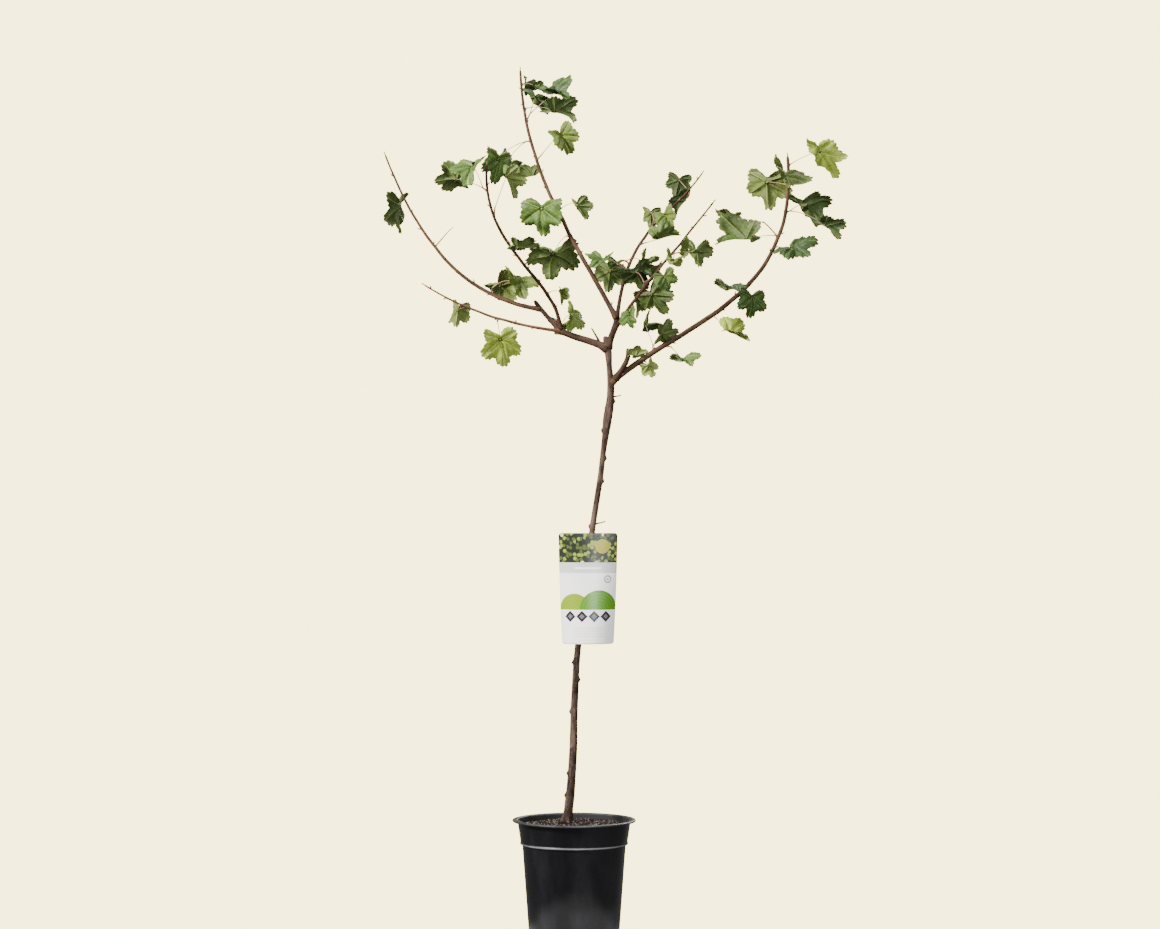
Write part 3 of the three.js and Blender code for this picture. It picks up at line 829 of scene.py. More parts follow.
@dataclass(frozen=True)
class BarkFinish:
    """Bark with streaks along the limb, dark furrows and pale lenticels."""

    name: str
    body: str
    light: str
    dark: str
    foot: str = ""
    foot_rise: Span = (0.45, 0.75)
    streak: Cloud = Cloud(260.0, 4.0, 0.6, 0.13)
    blotch: Cloud = Cloud(90.0, tall=0.3)
    fleck: Cloud = Cloud(1400.0, 2.0)
    lenticel_scale: float = 190.0
    lenticel_tall: float = 1.7
    lenticel_sizes: Span = (0.1, 0.24)
    blotches: float = 0.4
    lenticels: float = 0.2
    flecks: float = 0.35
    furrow: float = 0.0004
    roughness: float = 0.75

    def material(self) -> Material:
        """Mix the bark, which follows the grain that its mesh carries.

        Returns:
            The material.
        """
        mix = Recipe(self.name)
        follow = mix.carried("grain")
        streak, blotch, fine = (
            mix.noise(follow, cloud) for cloud in (self.streak, self.blotch, self.fleck)
        )
        drawn_out = mix.stretched(follow, 1.0, 1.0, self.lenticel_tall)
        dot = 1.0 - mix.cells(drawn_out, self.lenticel_scale)[0].between(*self.lenticel_sizes)
        body = self.body
        if self.foot:
            height = mix.parts(mix.place())[2]
            body = mix.layered(self.foot, (height.between(*self.foot_rise), body))
        colour = mix.layered(
            self.dark,
            (streak.between(0.38, 0.66), body),
            (blotch.between(0.42, 0.75) * self.blotches, self.light),
            (dot * self.lenticels, self.light),
            (self.flecks, mix.layered("303030", (fine, "ffffff")), "OVERLAY"),
        )
        height = streak * 0.65 + fine * 0.15 + dot * 0.25
        roughness = self.roughness + (streak - 0.5) * 0.3
        return mix.done(colour, roughness, 0.15, Normal=mix.relief(height, self.furrow))


@dataclass(frozen=True)
class LeafFinish:
    """A leaf's green with its net of veins."""

    name: str
    body: str
    patch: str
    vein: str
    vein_relief: float = -0.0005
    vein_strength: float = 0.7
    roughness: float = 0.42
    lobe_starts: tuple[int, ...] = (27, 80)
    rungs: float = 8.0
    rung_slope: float = 0.75
    rung_sizes: Span = (0.03, 0.1)
    rung_reach: Span = (0.34, 0.04)
    vein_sizes: Span = (0.004, 0.02)
    cloud: Cloud = Cloud(60.0, 2.0)
    net: Cloud = Cloud(26.0, 3.0, 0.6)
    dimmest: tuple[float, ...] = (0.72, 0.74, 0.7, 1.0)
    brightest: tuple[float, ...] = (1.18, 1.16, 1.1, 1.0)

    def material(self) -> Material:
        """Mix the green, which follows the blade coordinates that its mesh carries.

        Returns:
            The material.
        """
        mix = Recipe(self.name)
        x, y, leaf = mix.parts(mix.carried("blade"))
        run, gap = x, y.size()
        side, turn = gap, gap.bearing(x)
        for lobe, start in zip(LEAF_LOBES[1:], self.lobe_starts):
            cosine, sine = math.cos(lobe.turn), math.sin(lobe.turn)
            past = turn > math.radians(start)
            run = run + past * (x * cosine + side * sine - run)
            gap = gap + past * ((side * cosine - x * sine).size() - gap)
        ladder = ((run - gap * self.rung_slope) * self.rungs + leaf).rest() - 0.5
        rung = (1.0 - ladder.size().between(*self.rung_sizes)) * gap.between(*self.rung_reach)
        veins = (1.0 - gap.between(*self.vein_sizes) + rung * 0.5).least(1.0)
        cloud = mix.noise(mix.place(), self.cloud)
        fine = mix.noise(mix.carried("blade"), self.net)
        tone = mix.layered(self.dimmest, (mix.carried("tone", "Fac"), self.brightest))
        colour = mix.layered(
            self.body,
            (cloud.between(0.35, 0.7), self.patch),
            ((0.5 - fine).size() * 1.6, self.patch),
            (veins * self.vein_strength, self.vein),
            (1.0, tone, "MULTIPLY"),
        )
        bump = mix.relief(veins * 0.7 + fine * 0.35, self.vein_relief, 0.8)
        return mix.done(colour, self.roughness + fine * 0.18, 0.25, Normal=bump)


@dataclass(frozen=True)
class TwigFinish:
    """Young wood or a leaf stalk, turning from one colour to another in clouds."""

    name: str
    first: str
    second: str
    roughness: float = 0.5
    cloud: Cloud = Cloud(90.0, 2.0)
    fine: Cloud = Cloud(1500.0, 2.0)
    relief: float = 0.0001

    def material(self) -> Material:
        """Mix the stalk, on the object's own coordinates.

        Returns:
            The material.
        """
        mix = Recipe(self.name)
        cloud, fine = (mix.noise(mix.place(), noise) for noise in (self.cloud, self.fine))
        colour = mix.layered(self.first, (cloud.between(0.38, 0.62), self.second))
        bump = mix.relief(fine, self.relief)
        return mix.done(colour, self.roughness + fine * 0.15, 0.25, Normal=bump)


@dataclass(frozen=True)
class EarthFinish:
    """Dark compost, in damp and dry patches."""

    name: str
    damp: str
    dry: str
    roughness: float = 0.95
    cloud: Cloud = Cloud(70.0, 4.0, 0.65)
    fine: Cloud = Cloud(900.0, 3.0, 0.7)
    relief: float = 0.0008

    def material(self) -> Material:
        """Mix the earth, on the object's own coordinates.

        Returns:
            The material.
        """
        mix = Recipe(self.name)
        cloud, fine = (mix.noise(mix.place(), noise) for noise in (self.cloud, self.fine))
        patches, specks = cloud.between(0.35, 0.68), fine.between(0.55, 0.8) * 0.5
        colour = mix.layered(self.damp, (patches, self.dry), (specks, self.dry))
        return mix.done(colour, self.roughness, 0.15, Normal=mix.relief(fine, self.relief))


@dataclass(frozen=True)
class MouldedFinish:
    """The satin black of a blown nursery pot, scuffed and dusty, with a painted reflection greying
    its lower part and painted highlight lines at the bead and the lip.
    """

    name: str = "Black pot plastic"
    body: str = "0a0a0c"
    # Grey of real dust and scuffs, and also of the painted reflection that greys the lower part.
    dust_and_reflection_grey: str = "303033"
    # Grey of the painted highlight lines.
    highlight_grey: str = "8e8e90"
    # Painted highlight lines at the bead under the collar and at the lip's edge: foot and head
    # heights in metres, and their share.
    edges: tuple[Place, ...] = ((0.171, 0.1735, 0.5), (0.2126, 0.2149, 0.12))
    # Heights in metres over which a painted reflection greys the lower part, fully at the second.
    reflection_band: Span = (0.075, 0.045)
    collar_foot: float = 0.1745
    collar_radius: float = 0.0955
    collar_flare: float = 0.14
    roughness: float = 0.09
    relief: float = 0.003
    cloud: Cloud = Cloud(14.0, 4.0, tall=0.35)
    pebble: Cloud = Cloud(2600.0, 1.0)
    wave: Cloud = Cloud(17.0, 1.0, tall=0.5)
    scuff: Cloud = Cloud(32.0, 5.0, 0.7, 9.0)

    def material(self) -> Material:
        """Mix the plastic, on the object's own coordinates.

        Returns:
            The material.
        """
        mix = Recipe(self.name)
        follow = mix.place()
        x, y, height = mix.parts(follow)
        cloud, pebble, wave, scuff = (
            mix.noise(follow, noise) for noise in (self.cloud, self.pebble, self.wave, self.scuff)
        )
        # Painted reflection: a patchy grey band that grows towards the foot, added to the dust
        # film.
        low = height.between(*self.reflection_band)
        dust_and_reflection_film = cloud.between(0.42, 0.7) * 0.2 + low * cloud.between(0.3, 0.6) * 0.3
        scratches = scuff.between(0.64, 0.72) * 0.25
        colour = mix.layered(self.body, (dust_and_reflection_film + scratches, self.dust_and_reflection_grey))
        dull = dust_and_reflection_film * 0.4 + scratches * 0.4
        # Painted highlight lines at the bead and the lip, patchy through the cloud, with duller
        # gloss over each.
        for foot, head, highlight_share in self.edges:
            edge = (height > foot) * (height < head) * cloud.between(0.25, 0.6) * highlight_share
            colour = mix.layered(colour, (edge, self.highlight_grey))
            dull = dull + (height > foot - 0.001) * (height < head + 0.0015) * 0.35
        inner_radius = (height - self.collar_foot) * self.collar_flare + self.collar_radius
        inside = ((x * x + y * y).root() < inner_radius) * (height > self.collar_foot)
        bump = mix.relief(wave + pebble * 0.01, self.relief)
        return mix.done(colour, dull + inside * 0.75 + self.roughness, 0.4, Normal=bump)


@dataclass(frozen=True)
class PrintFinish:
    """A glossy card printed with foliage dabs, a silver band, two hills and lozenges."""

    name: str = "Printed card"
    size: Span = (107.0, 200.0)
    paper: str = "faf8f7"
    back: str = "e3e4de"
    silver: str = "c6c6c2"
    grey: str = "8d8f8f"
    shade: str = "141d0e"
    olive: str = "48551c"
    meadow: str = "869628"
    sun: str = "979106"
    leaf: str = "47800d"
    lime: str = "7d9400"
    plum: str = "1a1320"
    bud: str = "d4d89c"
    # Each round form's place beside the card's middle, its height and its radius.
    left_hill: Place = (-25.0, 62.0, 29.0)
    right_hill: Place = (20.0, 62.0, 35.0)
    ring: Place = (36.0, 117.0, 7.0)
    sun_disc: Place = (26.0, 176.0, 13.0)
    hill_step: float = 6.0
    row_height: float = 50.0
    row_reach: float = 44.0
    lozenge: float = 22.0
    rule_step: float = 5.0
    # Each bar's foot and head, and its reach to either side.
    rules: Place = (12.0, 32.0, 27.0)
    title: Place = (135.0, 138.5, 24.0)
    band_foot: float = 128.0
    picture_foot: float = 147.0
    dabs: float = 16.0
    sheen: Cloud = Cloud(22.0, 2.0)
    relief: float = 0.0012

    def material(self) -> Material:
        """Mix the print, which follows the card's print map.

        Returns:
            The material.
        """
        mix = Recipe(self.name)
        chart = mix.node("ShaderNodeUVMap", {"uv_map": "print"}).outputs[0]
        u, v, _ = mix.parts(chart)
        x, z = (u - 0.5) * self.size[0], v * self.size[1]

        def away(across: float, up: float) -> Value:
            """Measure how far the print lies from a point of the card."""
            return ((x - across) * (x - across) + (z - up) * (z - up)).root()

        def bar(foot: float, head: float, reach: float) -> Value:
            """Mark a bar between two heights."""
            return (z > foot) * (z < head) * (x.size() < reach)

        hills = []
        for (across, up, radius), green, line in (
            (self.left_hill, self.lime, self.leaf), (self.right_hill, self.leaf, self.lime)
        ):
            reach = away(across, up)
            hill, lines = (reach < radius) * (z > up), (reach / self.hill_step).rest() > 0.86
            hills += [(hill, green), (hill * lines * 0.6, line)]
        steps = (((x + self.row_reach) / self.lozenge).rest() - 0.5).size() * self.lozenge
        steps = steps + (z - self.row_height).size()
        row = (x.size() < self.row_reach) * (steps < 10.5)
        ring, sun = away(*self.ring[:2]), away(*self.sun_disc[:2])
        edge, pick = mix.cells(mix.stretched(chart, 1.07, 2.0, 1.0), self.dabs, "2D")
        foliage = mix.layered(
            self.shade, (pick > 0.4, self.olive), (pick > 0.66, self.meadow),
            (pick > 0.92, self.bud), (edge.between(0.42, 0.62), self.shade),
        )
        colour = mix.layered(
            self.paper,
            *hills,
            (row, self.plum),
            (row * (steps < 5.0) * 0.12, self.paper),
            ((ring < self.ring[2]) * (ring > 4.6) + (ring < 2.0), self.grey),
            (((z / self.rule_step).rest() > 0.66) * bar(*self.rules) * 0.3, self.grey),
            (z > self.band_foot, self.silver),
            (bar(*self.title), self.paper),
            (z > self.picture_foot, mix.layered(self.sun, (sun > self.sun_disc[2], foliage))),
            (mix.carried("back", "Fac"), self.back),
        )
        sheen = mix.noise(mix.place(), self.sheen)
        return mix.done(
            colour, 0.3 + sheen * 0.2, 0.5,
            Coat_Weight=0.25, Coat_Roughness=0.2, Normal=mix.relief(sheen, self.relief),
        )


@dataclass(frozen=True)
class FloorFinish:
    """A pale matt floor that fades away from the plant."""

    name: str = "Pale floor"
    body: str = "f2f2f4"
    middle: float = -0.14
    near: float = 0.2
    far: float = 0.31
    cover: float = 0.35

    def material(self) -> Material:
        """Mix the floor, on the object's own coordinates.

        Returns:
            The material.
        """
        mix = Recipe(self.name)
        x, y, _ = mix.parts(mix.place())
        depth = y - self.middle
        shown = (x * x + depth * depth).root().between(self.far, self.near)
        return mix.done(paint(self.body), 1.0, 0.0, Alpha=shown * self.cover)


# The plant's skeleton


# Height, lean and radius of the stem, from the soil to the fork.
STEM_STATIONS = (
    (211, -12.5, 12), (224, -11, 9), (258, -7, 7.8), (340, -1.6, 6.9), (410, 0.2, 6.2),
    (516, 6, 5.6), (620, 20, 5.3), (748, 34.5, 5.1), (829, 47, 4.9), (880, 53, 4.9),
    (913, 57.5, 6.6), (931, 59.5, 7.8), (951, 62.5, 8.1), (972, 65, 6.6), (996, 66, 6.3),
    (1028, 63.5, 4.9), (1058, 61, 6.4), (1070, 58.5, 5.4), (1084, 56, 4.2),
)


class Wood(Enum):
    """The kinds of bark, from old to young."""

    OLD = "old"
    BROWN = "brown"
    TAN = "tan"


class Tint(Enum):
    """The greens of the leaves."""

    BRIGHT = "bright"
    FRESH = "fresh"
    GREEN = "green"
    DEEP = "deep"


@dataclass(frozen=True)
class Limb:
    """A limb that leaves its parent part of the way along, or the stem at a height."""

    name: str
    wood: Wood
    parent: str
    at: float
    azimuth: float
    reach: float
    rise: float
    slopes: Span
    pulls: Span
    radii: Span
    knob: float = 0.0

    def radius(self, at: float | Array) -> float | Array:
        """Give its radius at places from 0 at its root to 1 at its tip."""
        return self.radii[0] + (self.radii[1] - self.radii[0]) * at


@dataclass(frozen=True)
class Spray:
    """A spur with its leaves, at a place on its bough."""

    at: float
    leaves: int
    size: float
    seed: int
    tint: Tint
    stretch: float = 1.0


OLD, BROWN, TAN = Wood
BRIGHT, FRESH, GREEN, DEEP = Tint
MAIN, CUT, CENTRE, RIGHT = "left_main_limb", "cut_limb", "centre_limb", "right_bough"
LIMBS = tuple(
    Limb(*row)
    for row in (
        (MAIN, OLD, "", 1061, 172, 86, 33, (30, 26), (0.31, 0.38), (6.4, 5.4), 5.9),
        (CENTRE, OLD, "", 1061, 14, 17, 54, (80, 83), (0.36, 0.37), (5.7, 5.1), 5.8),
        (RIGHT, BROWN, "", 1000, -11, 320, 402, (39, 95), (0.36, 0.5), (5.2, 2.5)),
        ("short_limb", OLD, RIGHT, 0.02, -40, 28, 54, (48, 108), (0.35, 0.35), (4.9, 3.8)),
        (CUT, OLD, MAIN, 1, 163, 49, 55, (47, 55), (0.36, 0.33), (4.3, 3.5)),
        ("low_bough", TAN, MAIN, 1, -146, 287, 74, (3, 28), (0.31, 0.32), (2.9, 1.2)),
        ("left_bough", BROWN, CUT, 0.73, 163, 300, 288, (8, 68), (0.39, 0.36), (3.8, 1.5)),
        ("inner_left_bough", BROWN, MAIN, 1, -122, 239, 280, (87, 98), (0.26, 0.42), (3.3, 1.9)),
        ("leader_bough", BROWN, CENTRE, 1, 137, 242, 469, (54, 87), (0.41, 0.34), (4.4, 2)),
        ("inner_right_bough", BROWN, CENTRE, 1, 54, 278, 285, (78, 41), (0.45, 0.42), (3.2, 1.2)),
        ("middle_right_bough", BROWN, CENTRE, 0.61, -54, 289, 213, (42, 37), (0.36, 0.32),
         (3.2, 1.2)),
        ("fork_snag", OLD, MAIN, 0.17, 168, 17, 32, (70, 60), (0.35, 0.35), (1.9, 1.1)),
    )
)
# The bough and the sprays of each mass of foliage.
MASSES = {
    name: (bough, [Spray(*row) for row in rows])
    for name, bough, *rows in (
        ("low_leaves", "low_bough", (0.45, 1, 50, 298855, BRIGHT), (0.67, 1, 34, 225145, FRESH)),
        ("left_spur_leaves", "left_bough", (0.22, 2, 40, 523740, FRESH)),
        ("left_leaves", "left_bough",
         (0.55, 0, 10, 5798, GREEN, 3.6), (0.81, 1, 46, 196491, GREEN)),
        ("inner_left_spur_leaves", "inner_left_bough", (0.24, 1, 22, 214510, FRESH)),
        ("inner_left_leaves", "inner_left_bough",
         (0.63, 1, 34, 97789, GREEN), (0.77, 1, 42, 45879, FRESH), (0.89, 2, 42, 1797662, GREEN)),
        ("leader_leaves", "leader_bough",
         (0.33, 1, 60, 26643, GREEN), (0.39, 1, 60, 349498, GREEN), (0.42, 1, 34, 340147, GREEN),
         (0.61, 1, 30, 52657, GREEN), (0.65, 1, 36, 292847, FRESH), (0.73, 2, 44, 1213695, GREEN),
         (0.81, 2, 44, 725778, DEEP), (0.84, 1, 44, 263768, DEEP), (0.95, 2, 26, 1727251, GREEN)),
        ("fork_leaves", MAIN, (0.97, 2, 40, 2090535, FRESH)),
        ("inner_right_leaves", "inner_right_bough",
         (0.21, 2, 38, 1251374, GREEN), (0.24, 2, 38, 1557866, GREEN), (0.37, 1, 40, 23931, GREEN),
         (0.51, 2, 34, 2325386, FRESH), (0.88, 2, 38, 1798085, DEEP)),
        ("middle_right_foot_leaves", "middle_right_bough", (0.15, 1, 34, 274232, GREEN)),
        ("middle_right_low_leaves", "middle_right_bough", (0.19, 2, 40, 859385, GREEN)),
        ("middle_right_leaves", "middle_right_bough",
         (0.3, 2, 48, 48361, DEEP), (0.45, 1, 34, 279714, GREEN), (0.58, 1, 40, 335283, GREEN),
         (0.61, 2, 36, 918323, FRESH)),
        ("right_foot_leaves", RIGHT, (0.12, 1, 30, 58336, BRIGHT)),
        ("right_low_leaves", RIGHT, (0.17, 2, 38, 667071, GREEN)),
        ("right_elbow_leaves", RIGHT, (0.21, 1, 30, 343931, GREEN)),
        ("right_middle_leaves", RIGHT, (0.4, 1, 40, 297777, BRIGHT)),
        ("right_leaves", RIGHT,
         (0.53, 2, 44, 84620, DEEP), (0.76, 1, 50, 273894, GREEN, 2.2),
         (0.77, 1, 42, 38655, GREEN, 2.2), (0.73, 1, 42, 66547, DEEP),
         (0.85, 2, 52, 968903, DEEP), (0.92, 2, 56, 573550, FRESH),
         (0.97, 1, 48, 270350, BRIGHT)),
        ("short_leaves", "short_limb", (0.71, 1, 24, 149117, FRESH)),
    )
}


def through(points: Array, count: int) -> Array:
    """Draw a centripetal curve through points.

    Args:
        points: The points that the curve passes.
        count: How many steps the curve has.

    Returns:
        The curve's points.
    """
    ends = [2 * points[0] - points[1], *points, 2 * points[-1] - points[-2]]
    curve = []
    for place in np.linspace(0, len(points) - 1, count + 1):
        index = min(int(place), len(points) - 2)
        part = place - index
        p0, p1, p2, p3 = ends[index : index + 4]
        d0, d1, d2 = (math.sqrt(np.linalg.norm(b - a)) for a, b in ((p0, p1), (p1, p2), (p2, p3)))
        t1 = ((p1 - p0) / d0 - (p2 - p0) / (d0 + d1) + (p2 - p1) / d1) * d1
        t2 = ((p2 - p1) / d1 - (p3 - p1) / (d1 + d2) + (p3 - p2) / d2) * d1
        square = 3 * (p2 - p1) - 2 * t1 - t2
        cube = 2 * (p1 - p2) + t1 + t2
        curve.append(p1 + part * t1 + part**2 * square + part**3 * cube)
    return np.array(curve)


@dataclass
class Line:
    """The curve that a limb follows, with its rings and its bud nodes."""

    limb: Limb
    start: Array
    inside: float
    ring_step: float = 2.2
    node_step: float = 37.0
    first_node: float = 0.7
    last_node: float = 0.97

    def __post_init__(self) -> None:
        """Draw the curve from its start, inside the stem or the limb's parent."""
        limb, start = self.limb, self.start
        chord = math.hypot(limb.reach, limb.rise)
        end = start + compass(limb.azimuth) * limb.reach + UP * limb.rise
        leave, arrive = (
            compass(limb.azimuth, slope) * chord * pull
            for slope, pull in zip(limb.slopes, limb.pulls)
        )
        self.controls = np.array([start, start + leave, end - arrive, end])
        self.length = travelled(self.points(np.linspace(0.0, 1.0, 200)))[-1]
        self.rings = np.linspace(0.0, 1.0, max(int(self.length / self.ring_step), 12))
        steps = range(int(self.length / self.node_step))
        places = [(i + self.first_node) * self.node_step / self.length for i in steps]
        turns = [i * GOLDEN_TURN + len(limb.name) for i in steps]
        self.nodes = [pair for pair in zip(places, turns) if pair[0] < self.last_node]

    def points(self, at: float | Array) -> Array:
        """Give the points at places from 0 at the root to 1 at the tip."""
        return bezier(self.controls, at)

    def heading(self, at: float) -> Array:
        """Give the direction at a place."""
        return unit(bezier(np.diff(self.controls, axis=0), at))


class Skeleton:
    """The lines that the stem and the limbs follow."""

    def __init__(self) -> None:
        """Draw the stem's curve, then each limb from its parent."""
        self.stem = through(np.array(STEM_STATIONS, dtype=float)[:, [1, 2, 0]], 600)
        self.lines: dict[str, Line] = {}
        for limb in LIMBS:
            start, inside = self.on_stem(limb.at)
            if limb.parent:
                parent = self.lines[limb.parent]
                start, inside = parent.points(limb.at), parent.limb.radius(limb.at)
            self.lines[limb.name] = Line(limb, start, inside)

    def on_stem(self, height: float) -> tuple[Array, float]:
        """Find the stem's centre and radius at a height."""
        lean, radius = (np.interp(height, self.stem[:, 2], self.stem[:, i]) for i in (0, 1))
        return np.array([lean, 0.0, height]), float(radius)


# Stem and limbs


@dataclass
class Stem:
    """The clean stem, from its flare at the soil to the fork."""

    skeleton: Skeleton
    sides: int = 56
    ring_step: float = 1.8
    cork: float = 0.4
    knots: tuple[Span, ...] = (
        (258, 190), (298, 200), (344, 235), (409, 180), (467, 345), (497, 175), (560, 20),
        (615, 200), (672, 350), (742, 190), (824, 350), (865, 5), (914, 185), (968, 0),
    )
    # A knot's swelling, hollow and fold: height, rise over the knot, reach up and round.
    knot_forms: tuple[tuple[float, ...], ...] = (
        (3.4, 0.0, 3.6, 2.6), (-0.9, 1.5, 1.2, 1.1), (0.35, -4.0, 0.7, 4.0),
    )
    furrows: Layer = Layer(5, 2.2, 26.0, -0.5)
    furrow_edge: float = 0.7
    plates: Layer = Layer(9, 4.5, 40.0, 0.25)
    crumbs: Layer = Layer(13, 0.9, 3.2, 0.16)
    # From smooth to rough bark: heights near the soil, and distances from the graft.
    old_bark: Span = (330.0, 215.0)
    graft_bark: Span = (45.0, 8.0)
    graft_height: float = 949.0
    graft_reach: float = 3.0
    graft_ridges: Layer = Layer(21, 3.0, 2.0, 0.9)
    flare_height: float = 9.0
    flare_lobes: int = 5
    flare_lobe_height: float = 2.4
    flare_turn: float = 0.8
    tip: tuple[float, ...] = (0.97, 0.85, 0.6)
    snags: tuple[tuple[float, ...], ...] = ((744.0, -15.0, 24.0, 1.6), (972.0, 10.0, 21.0, 1.5))
    snag_slope: float = 18.0
    snag_wave: float = 0.7
    snag_collar: float = 0.9

    def relief(self, high: Array, radius: Array) -> Array:
        """Work out how far the bark stands out.

        Args:
            high: The height of each ring.
            radius: The stem's radius there.

        Returns:
            Millimetres for each ring and side.
        """
        turns, graft = all_round(self.sides), high - self.graft_height
        surface = (radius * np.cos(turns), radius * np.sin(turns), high)
        rough = 0.55 + 0.9 * smooth(*self.old_bark, high)
        rough = rough + 0.9 * smooth(*self.graft_bark, abs(graft))
        out = self.furrows.height * np.abs(self.furrows.noise(*surface)) ** self.furrow_edge
        out = rough * (out + self.plates.rise(*surface) + self.crumbs.rise(*surface))
        flare = self.flare_lobe_height * fading(high, high[0], self.flare_height)
        out += flare * np.cos(self.flare_lobes * turns + self.flare_turn)
        ridge = self.graft_ridges.height * hump(graft, self.graft_reach)
        out += ridge * self.graft_ridges.noise(*surface)
        for height, azimuth in self.knots:
            over, beside = high - height, turned_off(turns, math.radians(azimuth)) * radius
            for form, rise, tall, wide in self.knot_forms:
                out += form * hump(over - rise, tall) * hump(beside, wide)
        return out

    def build(self) -> Patch:
        """Build the stem's bark, with its snags.

        Returns:
            The bark.
        """
        lean, thick, high = self.skeleton.stem.T
        count = int((high[-1] - high[0]) / self.ring_step)
        heights = np.linspace(high[0] - 1.2, high[-1], count)
        radii = np.interp(heights, high, thick)[:, None]
        spread = radii + self.cork + self.relief(heights[:, None], radii)
        draw_in(spread, self.tip)
        cells = strips([6.0, 1.0, 1.0])
        centres = points_at(np.interp(heights, high, lean), 0.0, heights)
        parts = [swept_tube(centres, spread, cells[0], 1)]
        for i, (height, azimuth, length, radius) in enumerate(self.snags):
            away = np.linspace(0.0, length, 12)[:, None]
            spine = self.skeleton.on_stem(height)[0] + away * compass(azimuth, self.snag_slope)
            spine[:, 2] += self.snag_wave * np.sin(away[:, 0] / 4.0)
            taper = radius * (1.0 - 0.3 * away / length)
            taper = taper + self.snag_collar * fading(away, 5.5, 2.0)
            parts.append(swept_tube(spine, np.tile(taper, 12), cells[i + 1], 3 + i))
        return joined(parts)


@dataclass
class Boughs:
    """The limbs, swept along their lines with collars, nodes and relief."""

    skeleton: Skeleton
    sides: int = 22
    cork: float = 0.25
    node_height: float = 0.3
    node_width: float = 2.4
    # A node's share all round, its further share at the bud, and the bud's reach in radians.
    node_forms: Place = (0.45, 0.9, 0.9)
    collar: float = 0.45
    collar_reach: float = 7.0
    knob_reach: Span = (7.0, 1.0)
    wander: float = 1.2
    wander_step: float = 30.0
    streaks: Layer = Layer(30, 1.3, 16.0, 0.16)
    bumps: Layer = Layer(60, 1.0, 3.0, 0.1)
    tip: tuple[float, ...] = (0.97, 0.86, 0.55)
    bare_length: float = 100.0
    bud_size: float = 0.8
    bud_variety: float = 0.4
    tip_bud: float = 1.15
    bud_lean: float = 0.75

    def tube(self, line: Line, index: int, cell: Span) -> Patch:
        """Sweep one limb.

        Args:
            line: What it follows.
            index: Seeds its relief.
            cell: Its strip of the bake map.

        Returns:
            Its bark.
        """
        limb, length, at = line.limb, line.length, line.rings
        turns, radii, run = all_round(self.sides), limb.radius(at)[:, None], at[:, None] * length
        wander = points_at(
            *(grain(index, at * length / self.wander_step, 0.0, z) for z in (0.5, 7.5, 14.5))
        )
        sway = np.sin(math.pi * at)[:, None] * min(self.wander, length / 90.0)
        surface = (radii * np.cos(turns), radii * np.sin(turns), run, index)
        rough = self.streaks.rise(*surface) + self.bumps.rise(*surface)
        spread = radii + self.cork + rough * (radii / 3.0 + 0.3)
        spread += self.collar * radii[0] * fading(run, line.inside, self.collar_reach)
        ring, bud, reach = self.node_forms
        for place, turn in line.nodes:
            form = ring + bud * hump(turned_off(turns, turn), reach)
            spread += self.node_height * hump(run - place * length, self.node_width) * form
        if limb.knob:
            spread += (limb.knob - limb.radii[1]) * smooth(*self.knob_reach, length - run)
        draw_in(spread, self.tip)
        return swept_tube(line.points(at) + wander * sway, spread, cell, index + 5)

    def build(self, wood: Wood) -> tuple[Patch, list[str]]:
        """Sweep all the limbs of one kind of bark.

        Args:
            wood: The kind of bark.

        Returns:
            The bark, and the names of its limbs.
        """
        chosen = [line for line in self.skeleton.lines.values() if line.limb.wood is wood]
        cells = strips([line.limb.radii[0] + 1.0 for line in chosen])
        parts = [self.tube(line, i, cell) for i, (line, cell) in enumerate(zip(chosen, cells))]
        return joined(parts), [line.limb.name for line in chosen]

    def bud_points(self) -> Mesh:
        """Set a point for each bud, with the way it faces and its size.

        Returns:
            A mesh of points only.
        """
        buds = []
        for line in self.skeleton.lines.values():
            if line.length < self.bare_length:
                continue
            spine = line.points(line.rings)
            across, up = carry_frames(spine)
            for place, turn in line.nodes:
                row = int(place * (len(spine) - 1))
                out = across[row] * math.cos(turn) + up[row] * math.sin(turn)
                foot = spine[row] + out * (line.limb.radius(line.rings[row]) + 0.3)
                facing = unit(out * self.bud_lean + line.heading(place))
                size = self.bud_size + self.bud_variety * abs(math.sin(turn * 3))
                buds.append((foot, facing, size))
            buds.append((spine[-1], line.heading(1.0), self.tip_bud))
        places, facings, swells = (np.array(column) for column in zip(*buds))
        mesh = bpy.data.meshes.new("Bud places")
        mesh.from_pydata((places * METRES).tolist(), [], [])
        carry(mesh, "facing", facings)
        carry(mesh, "swell", swells)
        return mesh


# Foliage


@dataclass(frozen=True)
class Lobe:
    """One lobe of a leaf: its turn from the midrib, its length and its width."""

    turn: float
    length: float
    width: float


LEAF_LOBES = tuple(
    Lobe(math.radians(turn), length, math.radians(width))
    for turn, length, width in ((0, 1.0, 26.5), (56, 0.95, 31), (108, 0.76, 33))
)


@dataclass(frozen=True)
class Leaf:
    """Where one leaf sits and how it is bent."""

    bend: Array
    base: Array
    along: Array
    side: Array
    face: Array
    size: float
    fold: float
    curl: float
    seed: int


@dataclass(frozen=True)
class Shoot:
    """A spur with the leaves that it bears."""

    foot: Array
    axis: Array
    end: Array
    leaves: list[Leaf]
    spray: Spray


